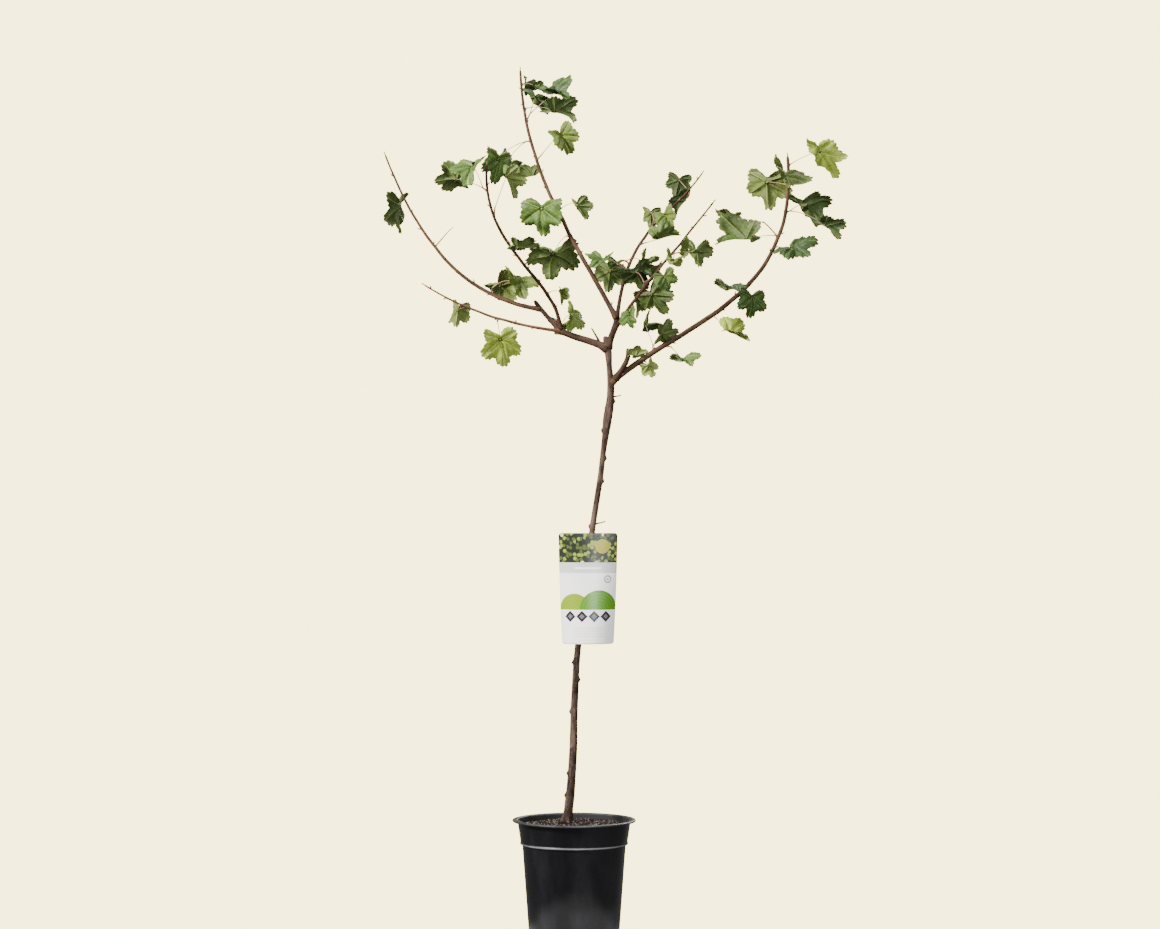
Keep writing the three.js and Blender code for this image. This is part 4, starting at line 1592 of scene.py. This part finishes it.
@dataclass
class Blade:
    """The shape of a leaf's blade, as rings of points around the stalk's end."""

    teeth: int = 34
    tooth_profile: tuple[float, ...] = (0.0, 0.5, 0.84, 1.0, 0.97, 0.62)
    rings: tuple[float, ...] = (0.05, 0.16, 0.3, 0.44, 0.58, 0.71, 0.82, 0.91, 1.0)
    tooth_depth: float = 0.08
    heart: float = 0.16
    variety: float = 0.07
    thickness: float = 0.45
    thin_edge: float = 0.5
    crease: float = 0.05
    puff: float = 0.08
    ruffle: float = 0.115
    pucker: float = 0.036
    droop: float = 0.2
    vein_groove: float = 0.016
    groove_width: float = 0.018
    # How many waves there are in a leaf's length.
    ruffle_waves: float = 2.4
    pucker_waves: float = 9.0
    droop_waves: float = 1.5

    def outline(self, turns: Array, seed: int) -> Array:
        """Give the lobed outline without its teeth.

        Args:
            turns: Radians from the midrib.
            seed: Makes each leaf a little different.

        Returns:
            The distance from the stalk for each turn, in leaf lengths.
        """
        draws, total, vary = Draws(seed), self.heart**6, (-self.variety, self.variety)
        for lobe in LEAF_LOBES:
            for hand in (-1.0, 1.0) if lobe.turn else (1.0,):
                length = lobe.length * (1.0 + draws.between(*vary))
                place = hand * (lobe.turn + draws.between(*vary))
                off = turned_off(turns, place) / lobe.width
                total = total + (length * np.exp(-0.5 * off**2.5)) ** 6
        return total ** (1 / 6)

    def flat_points(self, seed: int) -> tuple[Array, Array, Array]:
        """Lay the blade out flat.

        Args:
            seed: Makes each leaf a little different.

        Returns:
            Length, width and lift of each point, by ring and turn, in leaf lengths.
        """
        profile, rings = np.array(self.tooth_profile), np.array(self.rings)[:, None]
        steps = np.arange(self.teeth * len(profile))
        turns = all_round(len(steps)) - math.pi
        steps = np.where(turns > 0, -steps, steps) % len(profile)
        depth = self.tooth_depth * (0.75 + 0.5 * np.abs(grain(seed, turns * 3.0, 0.0, 0.0)))
        notch = depth * (1.0 - profile[steps])
        reach = rings * self.outline(turns, seed) * (1.0 - notch * smooth(0.75, 1.0, rings))
        x, y = reach * np.cos(turns), reach * np.sin(turns)
        nearest = np.full(x.shape, 9.0)
        for lobe, hand in itertools.product(LEAF_LOBES, (-1.0, 1.0)):
            cosine, sine = math.cos(lobe.turn), hand * math.sin(lobe.turn)
            off = np.where(x * cosine + y * sine > 0, np.abs(y * cosine - x * sine), 9.0)
            nearest = np.minimum(nearest, off)
        waves = (x * self.ruffle_waves, y * self.ruffle_waves, seed % 97)
        lift = self.ruffle * grain(seed, *waves) * smooth(0.1, 0.9, rings)
        lift += self.puff * smooth(0.0, 0.11, nearest) * smooth(1.0, 0.6, rings)
        lift -= self.vein_groove * hump(nearest, self.groove_width)
        waves = (x * self.pucker_waves, y * self.pucker_waves, 3.0)
        lift += self.pucker * grain(seed + 1, *waves) * smooth(0.0, 0.08, nearest)
        waves = (np.cos(turns) * self.droop_waves, np.sin(turns) * self.droop_waves, 5.0)
        droop = grain(seed, *waves)
        return x, y, lift - self.droop * rings**2.2 * (0.35 + droop) * reach

    def bent(self, leaf: Leaf, x: Array, y: Array, depth: Array) -> Array:
        """Fold a blade at its midrib, curl it and set it in place.

        Args:
            leaf: Where it sits and how it is bent.
            x: Length along the midrib, in leaf lengths.
            y: Width beside it, in leaf lengths.
            depth: Millimetres over the flat blade.

        Returns:
            The points in space.
        """
        x, y, soft = x * leaf.size, y * leaf.size, self.crease * leaf.size
        half = np.sqrt(y * y + soft * soft) - soft
        lift = half * math.sin(leaf.fold) + depth * math.cos(leaf.fold)
        spread = y * math.cos(leaf.fold) - np.sign(y) * depth * math.sin(leaf.fold)
        curl = leaf.curl if abs(leaf.curl) > 1e-6 else 1e-6
        sine, cosine = np.sin(curl * x), np.cos(curl * x)
        shares = (sine / curl + lift * sine, spread, lift * cosine - (1.0 - cosine) / curl)
        return leaf.base + points_at(*shares) @ np.array([leaf.along, leaf.side, leaf.face])

    def build(self, leaf: Leaf, number: int, side: int) -> Patch:
        """Build one leaf as a thin closed body.

        Args:
            leaf: Where it sits and how it is bent.
            number: The first of its two cells in the bake map.
            side: How many cells make a side of the map.

        Returns:
            The leaf, with its top in slot 0 and its underside in slot 1.
        """
        x, y, lift = self.flat_points(leaf.seed)
        rows, columns = x.shape
        middle, heart = np.zeros(1), self.thickness / 2
        half = heart * np.linspace(1.0, self.thin_edge, rows)[:, None]
        sheets = [self.bent(leaf, x, y, lift * leaf.size + s * half) for s in (1, -1)]
        hearts = [self.bent(leaf, middle, middle, s * heart) for s in (1, -1)]
        points = np.concatenate([sheet.reshape(-1, 3) for sheet in sheets + hearts])
        count, ring = rows * columns, np.arange(columns)
        following, quads = (ring + 1) % columns, grid(rows, columns, True)[0]
        rim = points_at(ring, ring + count, following + count, following)
        faces = [
            quads[:, ::-1], quads + count, rim + (rows - 1) * columns,
            points_at(following, ring, 2 * count),
            points_at(ring + count, following + count, 2 * count + 1),
        ]
        slots = [0, 1, 0, 0, 1]
        flat = np.concatenate([points_at(x, y).reshape(-1, 2)] * 2 + [np.zeros((2, 2))])
        maps = [flat[face] for face in faces]
        maps[2] = maps[2] * np.array([1.0, 1.04, 1.04, 1.0])[:, None]
        bake = [self.spread_out(area, number + slot, side) for area, slot in zip(maps, slots)]
        tone = np.full(len(points), Draws(leaf.seed + 7).draw())
        extras = {"blade": np.column_stack([flat, tone]), "tone": tone}
        return Patch(points, faces, {BAKE_MAP: np.concatenate(bake), **extras}, slots)

    @staticmethod
    def spread_out(flat: Array, number: int, side: int) -> Array:
        """Place a flat blade in its cell of the bake map, which has a number of cells a side."""
        within = points_at(flat[..., 1] / 2.3 + 0.5, (flat[..., 0] + 0.75) / 2.1).reshape(-1, 2)
        return ([number % side + 0.03, number // side + 0.03] + 0.94 * np.clip(within, 0, 1)) / side


@dataclass
class Foliage:
    """All the spurs, stalks and leaves, grown by the source's rule."""

    skeleton: Skeleton
    blade: Blade = field(default_factory=Blade)
    spur_length: Span = (4, 18)
    spur_lean: Span = (0.5, 1.3)
    spur_radius: float = 1.3
    spur_collar: float = 0.9
    spur_tip: Span = (0.85, 0.5)
    scale_height: float = 0.22
    scale_step: float = 1.25
    stalk_length: Span = (14, 62)
    stalk_spread: Span = (0.2, 1.4)
    stalk_sag: Span = (0, 0.6)
    stalk_elbow: float = 0.55
    stalk_radius: float = 0.75
    stalk_swell: float = 0.75
    stalk_taper: float = 0.25
    stalk_tip: tuple[float, ...] = (0.8, 0.6, 0.35)
    scatter: Span = (-0.6, 0.6)
    scale: Span = (0.75, 1.25)
    pitch: Span = (-0.4, 1.5)
    yaw: Span = (-1.2, 1.2)
    roll: Span = (-0.9, 0.9)
    fold: Span = (0.1, 1.2)
    curl: Span = (-0.3, 0.9)

    def __post_init__(self) -> None:
        """Grow every spur."""
        self.shoots = [self.grow(bough, s) for bough, sprays in MASSES.values() for s in sprays]

    def grow(self, bough: str, spray: Spray) -> Shoot:
        """Grow one spur with its leaves.

        Args:
            bough: The limb that bears it.
            spray: What sets it.

        Returns:
            The spur with its leaves.
        """
        draws, line = Draws(spray.seed), self.skeleton.lines[bough]
        phase = 2 * math.pi * draws.draw()
        length = draws.between(*self.spur_length) * spray.stretch
        axis = leaning(line.heading(spray.at), phase, draws.between(*self.spur_lean))
        foot = line.points(spray.at)
        shoot = Shoot(foot, axis, foot + axis * length, [], spray)
        for index in range(spray.leaves):
            shoot.leaves.append(self.draw_leaf(draws, shoot, phase + index * GOLDEN_TURN, index))
        return shoot

    def draw_leaf(self, draws: Draws, shoot: Shoot, turn: float, index: int) -> Leaf:
        """Draw one leaf.

        Args:
            draws: The spray's draws.
            shoot: The spur that bears it.
            turn: The side of the spur that it leaves.
            index: Which leaf of the spray it is.

        Returns:
            The leaf.
        """
        turn += draws.between(*self.scatter)
        out = leaning(shoot.axis, turn, draws.between(*self.stalk_spread))
        reach = draws.between(*self.stalk_length)
        sag = draws.between(*self.stalk_sag)
        size = shoot.spray.size * draws.between(*self.scale)
        pitch = draws.between(*self.pitch)
        bend = shoot.end + out * self.stalk_elbow * reach
        base = shoot.end + out * reach - UP * reach * sag
        heading = math.atan2(base[1] - bend[1], base[0] - bend[0]) + draws.between(*self.yaw)
        roll = draws.between(*self.roll)
        along = compass(math.degrees(heading), -math.degrees(pitch))
        level = np.array([-math.sin(heading), math.cos(heading), 0.0])
        side = level * math.cos(roll) + np.cross(along, level) * math.sin(roll)
        fold, curl = draws.between(*self.fold), draws.between(*self.curl) / size
        seed = shoot.spray.seed + 101 * index
        return Leaf(bend, base, along, side, np.cross(along, side), size, fold, curl, seed)

    def stalk(self, shoot: Shoot, leaf: Leaf) -> tuple[Array, Array]:
        """Draw the stalk of a leaf.

        Args:
            shoot: The spur that bears it.
            leaf: The leaf.

        Returns:
            The stalk's points and its radius at each.
        """
        controls = [shoot.end - shoot.axis * 1.5, leaf.bend, leaf.base]
        tail = leaf.base + leaf.along * np.linspace(0.6, 0.08 * leaf.size, 4)[:, None]
        sink = leaf.face * np.linspace(0.0, -0.35, 4)[:, None]
        line = np.concatenate([bezier(controls, np.linspace(0.0, 1.0, 22)), tail + sink])
        part = np.linspace(0.0, 1.0, len(line))
        swell = 1.0 + self.stalk_swell * np.exp(-part * 14) - self.stalk_taper * part
        radii = self.stalk_radius * swell
        draw_in(radii, self.stalk_tip)
        return line, radii

    def spur(self, shoot: Shoot) -> tuple[Array, Array]:
        """Draw a spur with the rings of its bud scales.

        Args:
            shoot: The spur.

        Returns:
            The spur's points and its radius at each.
        """
        length = float(np.linalg.norm(shoot.end - shoot.foot)) + 1.2
        away = np.linspace(0.0, length, max(int(length / 0.7), 10))
        line = shoot.foot + shoot.axis * away[:, None]
        line[:, 2] += 0.04 * away * np.sin(away / length * math.pi)
        radii = self.spur_radius * (1.05 - 0.2 * away / length)
        radii += self.spur_collar * fading(away, 2.5, 1.6)
        scales = np.sin(away * self.scale_step + shoot.spray.seed)
        radii += self.scale_height * np.abs(scales) ** 3
        if not shoot.leaves:
            radii *= 1.0 - 0.45 * away / length
        draw_in(radii, self.spur_tip)
        return line, radii

    @staticmethod
    def rods(drawn: list[tuple[Array, Array]], sides: int) -> Patch:
        """Sweep thin rods, each with its strip of the bake map.

        Args:
            drawn: The line and the radii of each.
            sides: How many sides each has.

        Returns:
            The rods.
        """
        cells = strips([1.0] * len(drawn), 0.001)
        tiled = [(line, np.tile(radii[:, None], sides)) for line, radii in drawn]
        return joined([swept_tube(*rod, cell) for rod, cell in zip(tiled, cells)])

    def stalks(self) -> Patch:
        """Sweep all the stalks."""
        return self.rods([self.stalk(s, leaf) for s in self.shoots for leaf in s.leaves], 8)

    def spurs(self) -> Patch:
        """Sweep all the spurs."""
        return self.rods([self.spur(shoot) for shoot in self.shoots], 10)

    def leaves(self, tint: Tint) -> Patch:
        """Build all the leaves of one green.

        Args:
            tint: The green.

        Returns:
            The leaves.
        """
        chosen = [leaf for s in self.shoots if s.spray.tint is tint for leaf in s.leaves]
        side = math.ceil(math.sqrt(2 * len(chosen)))
        return joined([self.blade.build(leaf, 2 * i, side) for i, leaf in enumerate(chosen)])


# Pot and soil


@dataclass
class Pot:
    """A round nursery pot with a rolled lip, a collar and drain slots."""

    height: float = 215.0
    wall: float = 1.6
    floor: float = 2.2
    foot_radius: float = 81.0
    step_height: float = 170.5
    step_radius: float = 93.5
    step_out: float = 2.7
    collar_radius: float = 101.2
    lip_radius: float = 111.0
    lip_thickness: float = 3.6
    sides: int = 160
    drain_slots: int = 8
    drain_size: Place = (14.0, 12.0, 40.0)
    sharp_angle: float = 38.0

    def profile(self) -> Array:
        """Draw the wall's section, up the outside and down the inside.

        Returns:
            Radius and height of each point.
        """
        step, high, collar = self.step_radius, self.step_height, self.collar_radius
        bead, edge, top = step + self.step_out, self.lip_radius, self.height
        lip, foot, floor = top - self.lip_thickness, self.foot_radius, self.floor
        inner = foot - self.wall
        return np.array([
            (0.5, 0.0), (40, 0.0), (70, 0.0), (78.2, 0.0), (79.6, 0.25), (80.6, 1.1),
            *np.linspace((foot, 2.6), (step - 0.4, high - 1.4), 15),
            (step + 0.5, high - 0.6), (bead - 0.2, high - 0.2), (bead + 0.8, high + 0.5),
            (bead + 1.2, high + 1.8), (bead + 0.8, high + 3.1),
            *np.linspace((bead + 0.1, high + 4.2), (collar, lip - 4.0), 6),
            (collar + 0.7, lip - 1.2), (collar + 2.2, lip - 0.2), (edge - 2.4, lip - 0.4),
            (edge - 0.9, lip - 0.1), (edge - 0.1, lip + 0.8), (edge, lip + 1.8),
            (edge - 0.2, lip + 2.8), (edge - 1.2, lip + 3.5), (edge - 2.6, top),
            (collar + 2.0, top), (collar + 0.2, top - 0.4), (collar - 0.9, top - 1.5),
            (collar - 1.4, lip - 1.0), (bead - self.wall, high + 2.6),
            (step - self.wall, high + 1.0), (inner, floor + 2.0), (inner - 1.2, floor),
            (40.0, floor), (0.5, floor),
        ])

    def build(self, finish: Material) -> Object:
        """Turn the pot and cut its drain slots.

        Args:
            finish: Its plastic.

        Returns:
            The pot.
        """
        pot = make_piece("nursery_pot", turned_shell(self.profile(), self.sides), finish)
        radial, wide, tall = (size / 2 for size in self.drain_size)
        depths = np.array([[self.foot_radius - radial], [self.foot_radius + radial]])
        turns = np.degrees(all_round(self.drain_slots) + math.pi / self.drain_slots)
        bars = [rounded_bar(depths * compass(turn), wide, tall) for turn in turns]
        cutter = make_piece("Slot blocks", joined(bars))
        cut = pot.modifiers.new("Slots", "BOOLEAN")
        cut.operation, cut.solver, cut.object = "DIFFERENCE", "EXACT", cutter
        slotted = evaluated(pot)
        pot.modifiers.remove(cut)
        pot.data = slotted
        bpy.data.objects.remove(cutter)
        slotted.set_sharp_from_angle(angle=math.radians(self.sharp_angle))
        return pot


@dataclass
class Soil:
    """The compost that fills the pot, with crumbs, grit and chips on it."""

    skeleton: Skeleton
    edge_height: float = 203.4
    dome_height: float = 209.4
    top_height: float = 213.2
    edge_radius: float = 96.6
    sides: int = 150
    rings: int = 46
    stem_mound: float = 1.6
    mound_reach: float = 19.0
    swells: Layer = Layer(3, 21.0, 1.0, 1.1)
    lumps: Layer = Layer(4, 7.0, 1.0, 1.2)
    crumbs: Layer = Layer(8, 2.6, 1.0, 0.5)
    plug: tuple[Span, ...] = ((0.6, 2.6), (40.0, 2.6), (79.0, 2.6), (91.5, 171.0), (94.2, 174.5))

    def surface(self) -> Array:
        """Work out the top surface.

        Returns:
            Points by ring and side, from the rim inward.
        """
        turns, inward = all_round(self.sides), np.linspace(0.0, 1.0, self.rings)[:, None]
        radius = self.edge_radius + (0.6 - self.edge_radius) * inward
        x, y = radius * np.cos(turns), radius * np.sin(turns)
        rise = (self.dome_height - self.edge_height) * np.sin(inward * math.pi / 2) ** 0.8
        lumps = self.swells.rise(x, y, 0.0) + np.abs(self.lumps.rise(x, y, 0.0))
        lumps = (lumps + self.crumbs.rise(x, y, 0.0)) * smooth(0.0, 0.05, inward)
        away = np.hypot(x - self.skeleton.stem[0, 0], y)
        height = self.edge_height + rise + lumps + self.stem_mound * hump(away, self.mound_reach)
        return points_at(x, y, np.minimum(height, self.top_height))

    def build(self, finish: Material) -> Object:
        """Build the compost as a closed plug with a lumpy top.

        Args:
            finish: Its earth.

        Returns:
            The compost.
        """
        top = self.surface()
        patch = turned_shell(np.concatenate([self.plug, top[:, 0, [0, 2]]]), self.sides)
        patch.points[len(self.plug) * self.sides :] = top.reshape(-1, 3)
        return make_piece("compost", patch, finish)

    def ground(self) -> Mesh:
        """Copy the top surface alone, for things to lie on.

        Returns:
            Its mesh.
        """
        mesh, quads = bpy.data.meshes.new("Soil ground"), grid(self.rings - 1, self.sides, True)[0]
        points = self.surface()[:-1].reshape(-1, 3) * METRES
        mesh.from_pydata(points.tolist(), [], quads.tolist())
        return mesh


# Picture card


@dataclass
class Card:
    """A curled picture card on the stem, held by a strap."""

    skeleton: Skeleton
    width: float = 107.0
    height: float = 200.0
    thickness: float = 0.9
    foot: float = 530.0
    front: float = -11.0
    centre: float = 25.0
    curl_foot: float = 0.95
    curl_head: float = 0.25
    wave: float = 0.5
    wave_lengths: Span = (31.0, 45.0)
    corner: float = 5.0
    columns: int = 48
    rows: int = 84
    strap_height: float = 702.0
    strap_tall: float = 11.0
    strap_thickness: float = 1.2
    strap_slack: float = 1.3
    bridge_width: float = 9.0

    def rounded(self, flat: Array) -> Array:
        """Round the corners of a flat rectangle.

        Args:
            flat: Places across and up, from the middle.

        Returns:
            The places, moved in at the corners.
        """
        inner = np.array([self.width, self.height]) / 2 - self.corner
        over = np.maximum(np.abs(flat) - inner, 0.0)
        drawn = over * np.sqrt(1 - over[..., ::-1] ** 2 / (2 * self.corner**2))
        return np.sign(flat) * (np.minimum(np.abs(flat), inner) + drawn)

    def curled(self, flat: Array, depth: float) -> Array:
        """Curl the flat card round toward its foot.

        Args:
            flat: Places across and up, from the middle.
            depth: How far behind the front face.

        Returns:
            The points in space.
        """
        x, z = np.moveaxis(flat, -1, 0)
        rise = z / self.height + 0.5
        radius = self.width / 2 / (self.curl_foot + (self.curl_head - self.curl_foot) * rise)
        arm, (up, across) = radius - depth, self.wave_lengths
        wave = self.wave * np.sin(z / up + x / across)
        return points_at(
            self.centre + arm * np.sin(x / radius),
            self.front + radius - arm * np.cos(x / radius) + wave,
            self.foot + rise * self.height,
        )

    def sheet(self) -> Patch:
        """Build the card as a thin closed sheet.

        Returns:
            The card, carrying its print map and what is its back.
        """
        size = np.array([self.width, self.height])
        sides = [np.linspace(-h, h, n) for h, n in zip(size / 2, (self.columns, self.rows))]
        flat = self.rounded(points_at(*np.meshgrid(*sides)))
        depths = (-self.thickness / 2, self.thickness / 2)
        points = np.concatenate([self.curled(flat, depth).reshape(-1, 3) for depth in depths])
        count, quads = self.rows * self.columns, grid(self.rows, self.columns, False)[0]
        place = np.arange(count).reshape(self.rows, self.columns)
        edge = np.concatenate([place[0], place[1:, -1], place[-1, -2::-1], place[-2:0:-1, 0]])
        following = np.roll(edge, -1)
        rim = points_at(edge, edge + count, following + count, following)
        faces = [quads, (quads + count)[:, ::-1], rim]
        chart = np.tile((flat / size + 0.5).reshape(-1, 2), (2, 1))
        maps = [chart[face].reshape(-1, 2) for face in faces]
        bake = [area * [0.48, 0.96] + [left, 0.02] for area, left in zip(maps, (0.01, 0.51, 0.01))]
        extras = {"back": np.repeat([0.0, 1.0], count), "print": np.concatenate(maps)}
        return Patch(points, faces, {BAKE_MAP: np.concatenate(bake), **extras}, [0, 0, 0])

    def strap(self) -> Patch:
        """Build the strap that loops round the stem and joins the card.

        Returns:
            The strap.
        """
        centre, radius = self.skeleton.on_stem(self.strap_height)
        inner = radius + self.strap_slack
        outer, half = inner + self.strap_thickness, self.strap_tall / 2
        section = np.array([
            (inner, -half + 0.4), (inner + 0.3, -half), (outer - 0.4, -half),
            (outer, -half + 0.5), (outer, half - 0.5), (outer - 0.4, half),
            (inner + 0.3, half), (inner, half - 0.4), (inner, -half + 0.4),
        ])
        loop = turned_shell(section, 48, False)
        loop.points = loop.points + centre
        depths = np.linspace(0.6 - outer, self.front + self.thickness, 6)
        spine = points_at(centre[0], depths, self.strap_height)
        bridge = rounded_bar(spine, self.bridge_width / 2, half - 0.6)
        loop.extras["grain"] = loop.points * METRES
        return joined([loop, bridge])


# Studio


@dataclass
class Studio:
    """A pale floor, soft lights, a cream backdrop and the camera."""

    floor_radius: float = 0.36
    floor_sides: int = 96
    backdrop: tuple[float, ...] = (1.0, 0.855, 0.384, 1.0)
    backdrop_light: float = 6.1
    room: tuple[float, ...] = (1.0, 0.98, 0.95, 1.0)
    room_light: float = 0.17
    camera_place: Place = (0.0106, -5.6, 0.853)
    camera_lens: float = 96.6
    sensor: float = 36.0
    view_end: float = 100.0
    # Each light's name, place, height of aim, side of its square, watts and colour.
    lights: tuple[tuple[str, Place, float, float, float, Place], ...] = (
        ("key", (-2.9, -2.0, 2.8), 1.2, 1.0, 600.0, (1.0, 0.98, 0.94)),
        ("fill", (1.2, -3.9, 1.4), 0.8, 1.8, 180.0, (0.97, 0.98, 1.0)),
        ("top", (0.2, 0.1, 3.6), 1.2, 1.4, 70.0, (1.0, 1.0, 1.0)),
        ("back", (1.2, 3.4, 2.4), 1.2, 1.8, 100.0, (1.0, 0.99, 0.97)),
    )

    def build_floor(self) -> None:
        """Lay the floor."""
        turns = all_round(self.floor_sides)
        rim = self.floor_radius * points_at(np.cos(turns), np.sin(turns), 0.0)
        mesh = bpy.data.meshes.new("studio_floor")
        mesh.from_pydata(rim.tolist(), [], [list(range(self.floor_sides))])
        mesh.materials.append(FloorFinish().material())
        add_object("studio_floor", mesh)

    def build_lights(self) -> None:
        """Hang the soft square lights."""
        for name, place, aim, size, power, colour in self.lights:
            lamp = bpy.data.lights.new(name, "AREA")
            lamp.shape, lamp.size, lamp.energy, lamp.color = "SQUARE", size, power, colour
            made = add_object(name, lamp)
            made.location = place
            made.visible_camera = False
            x, y, z = place
            made.rotation_euler = (math.atan2(math.hypot(x, y), z - aim), 0.0, math.atan2(x, -y))

    def build_room(self) -> None:
        """Make the dim room, and the backdrop that is seen behind the plant."""
        world = bpy.data.worlds.new("Soft room")
        world.use_nodes = True
        tree = Tree(world.node_tree)
        tree.tree.nodes.clear()
        seen = tree.node("ShaderNodeLightPath", {}).outputs["Is Camera Ray"]
        room, cream = (
            tree.node("ShaderNodeBackground", {}, Color=colour, Strength=light).outputs[0]
            for colour, light in (
                (self.room, self.room_light), (self.backdrop, self.backdrop_light)
            )
        )
        both = tree.node("ShaderNodeMixShader", {}, in0=seen, in1=room, in2=cream)
        tree.node("ShaderNodeOutputWorld", {}, Surface=both.outputs[0])
        bpy.context.scene.world = world

    def build(self) -> None:
        """Set up the floor, the lights, the room and the camera."""
        self.build_floor()
        self.build_lights()
        self.build_room()
        lens = bpy.data.cameras.new("camera")
        lens.lens, lens.sensor_width = self.camera_lens, self.sensor
        lens.clip_end = self.view_end
        camera = add_object("camera", lens)
        camera.location = self.camera_place
        camera.rotation_euler = (math.pi / 2, 0.0, 0.0)
        bpy.context.scene.camera = camera


BARKS = {
    Wood.OLD: BarkFinish("Old bark", "38271b", "5c4636", "1a100a"),
    Wood.BROWN: BarkFinish("Brown bark", "452f20", "6a5038", "241710"),
    Wood.TAN: BarkFinish("Tan bark", "87634c", "a7856a", "60412e"),
}
STEM_BARK = BarkFinish(
    "Stem bark", "422f26", "846e60", "170f0b", foot="34261e",
    streak=Cloud(300.0, 4.0, 0.6, 0.13), blotches=0.42, lenticels=0.4, furrow=0.0008,
)
# The top's and the underside's body, patches and veins.
GREENS = {
    Tint.BRIGHT: (("808f2e", "677a24", "b5bf70"), ("818d44", "72803a", "a7b076")),
    Tint.FRESH: (("45561e", "546421", "838a49"), ("5a6830", "525e28", "868b56")),
    Tint.GREEN: (("37501d", "4a6124", "828f4b"), ("4d5d2b", "435324", "7a844d")),
    Tint.DEEP: (("273b15", "344a1c", "667a3f"), ("415227", "384920", "6c7747")),
}
UNDERSIDE_RELIEF = 0.0006
# Each kind of crumb's name, colours, number to a square metre, sizes and seed.
CRUMBS = (
    ("crumbs", "0b0807", "261d18", 130000.0, (0.0005, 0.0005, 0.0004), (0.0019, 0.0016, 0.0012), 3),
    ("grit", "5f544e", "8f827a", 15000.0, (0.0007, 0.0006, 0.0005), (0.0023, 0.0019, 0.0014), 7),
    ("chips", "2c1f19", "533f32", 9000.0, (0.0012, 0.0004, 0.0003), (0.0042, 0.001, 0.0007), 11),
)


def build_pot(skeleton: Skeleton) -> None:
    """Build the pot and what fills it.

    Args:
        skeleton: The lines of the stem and the limbs.
    """
    hand_over(Pot().build(MouldedFinish().material()), "pot", "pot")
    soil, grower = Soil(skeleton), crumb_grower()
    hand_over(soil.build(EarthFinish("Compost", "060404", "17110e").material()), "soil", "soil")
    for name, damp, dry, density, least, greatest, seed in CRUMBS:
        values = {"Density": density, "Least": least, "Greatest": greatest, "Seed": seed}
        finish = EarthFinish(name.title(), damp, dry).material()
        hand_over(grower.grow(f"soil_{name}", soil.ground(), finish, **values), "soil")


def build_wood(skeleton: Skeleton) -> None:
    """Build the stem, the limbs and their buds.

    Args:
        skeleton: The lines of the stem and the limbs.
    """
    boughs = Boughs(skeleton)
    stem = make_piece("stem_bark", Stem(skeleton).build(), STEM_BARK.material())
    hand_over(stem, "bark", "trunk")
    for wood, bark in BARKS.items():
        patch, nodes = boughs.build(wood)
        hand_over(make_piece(f"{wood.value}_limbs", patch, bark.material()), "bark", *nodes)
    scales = TwigFinish("Bud scales", "482d22", "6b4c3a").material()
    hand_over(bud_grower().grow("buds", boughs.bud_points(), scales), "bark")


def build_foliage(skeleton: Skeleton) -> None:
    """Build the spurs, stalks and leaves.

    Args:
        skeleton: The lines of the stem and the limbs.
    """
    foliage = Foliage(skeleton)
    spur = TwigFinish("Spur bark", "3d2a21", "614938", 0.6).material()
    hand_over(make_piece("spurs", foliage.spurs(), spur), "bark")
    stalk = TwigFinish("Leaf stalk", "897654", "92725e").material()
    hand_over(make_piece("leaf_stalks", foliage.stalks(), stalk), "leaves")
    for tint, (tops, unders) in GREENS.items():
        shade = tint.value.title()
        finishes = (
            LeafFinish(f"{shade} leaf", *tops).material(),
            LeafFinish(f"{shade} underside", *unders, UNDERSIDE_RELIEF).material(),
        )
        piece = make_piece(f"{tint.value}_foliage", foliage.leaves(tint), *finishes)
        nodes = [name for name, (_, sprays) in MASSES.items() if sprays[-1].tint is tint]
        hand_over(piece, "leaves", *nodes)


def build_card(skeleton: Skeleton) -> None:
    """Build the picture card and its strap.

    Args:
        skeleton: The lines of the stem and the limbs.
    """
    card = Card(skeleton)
    sheet = make_piece("picture_card", card.sheet(), PrintFinish().material())
    hand_over(sheet, "card", "label")
    plastic = TwigFinish("Card strap", "d8dad4", "c9ccc6", 0.35).material()
    hand_over(make_piece("card_strap", card.strap(), plastic), "card")


def main() -> None:
    """Build the plant, its pot and the studio, piece by piece."""
    logging.basicConfig(level=logging.INFO, format="%(name)s: %(message)s")
    Studio().build()
    skeleton = Skeleton()
    build_pot(skeleton)
    build_wood(skeleton)
    build_foliage(skeleton)
    build_card(skeleton)


if __name__ == "__main__":
    main()
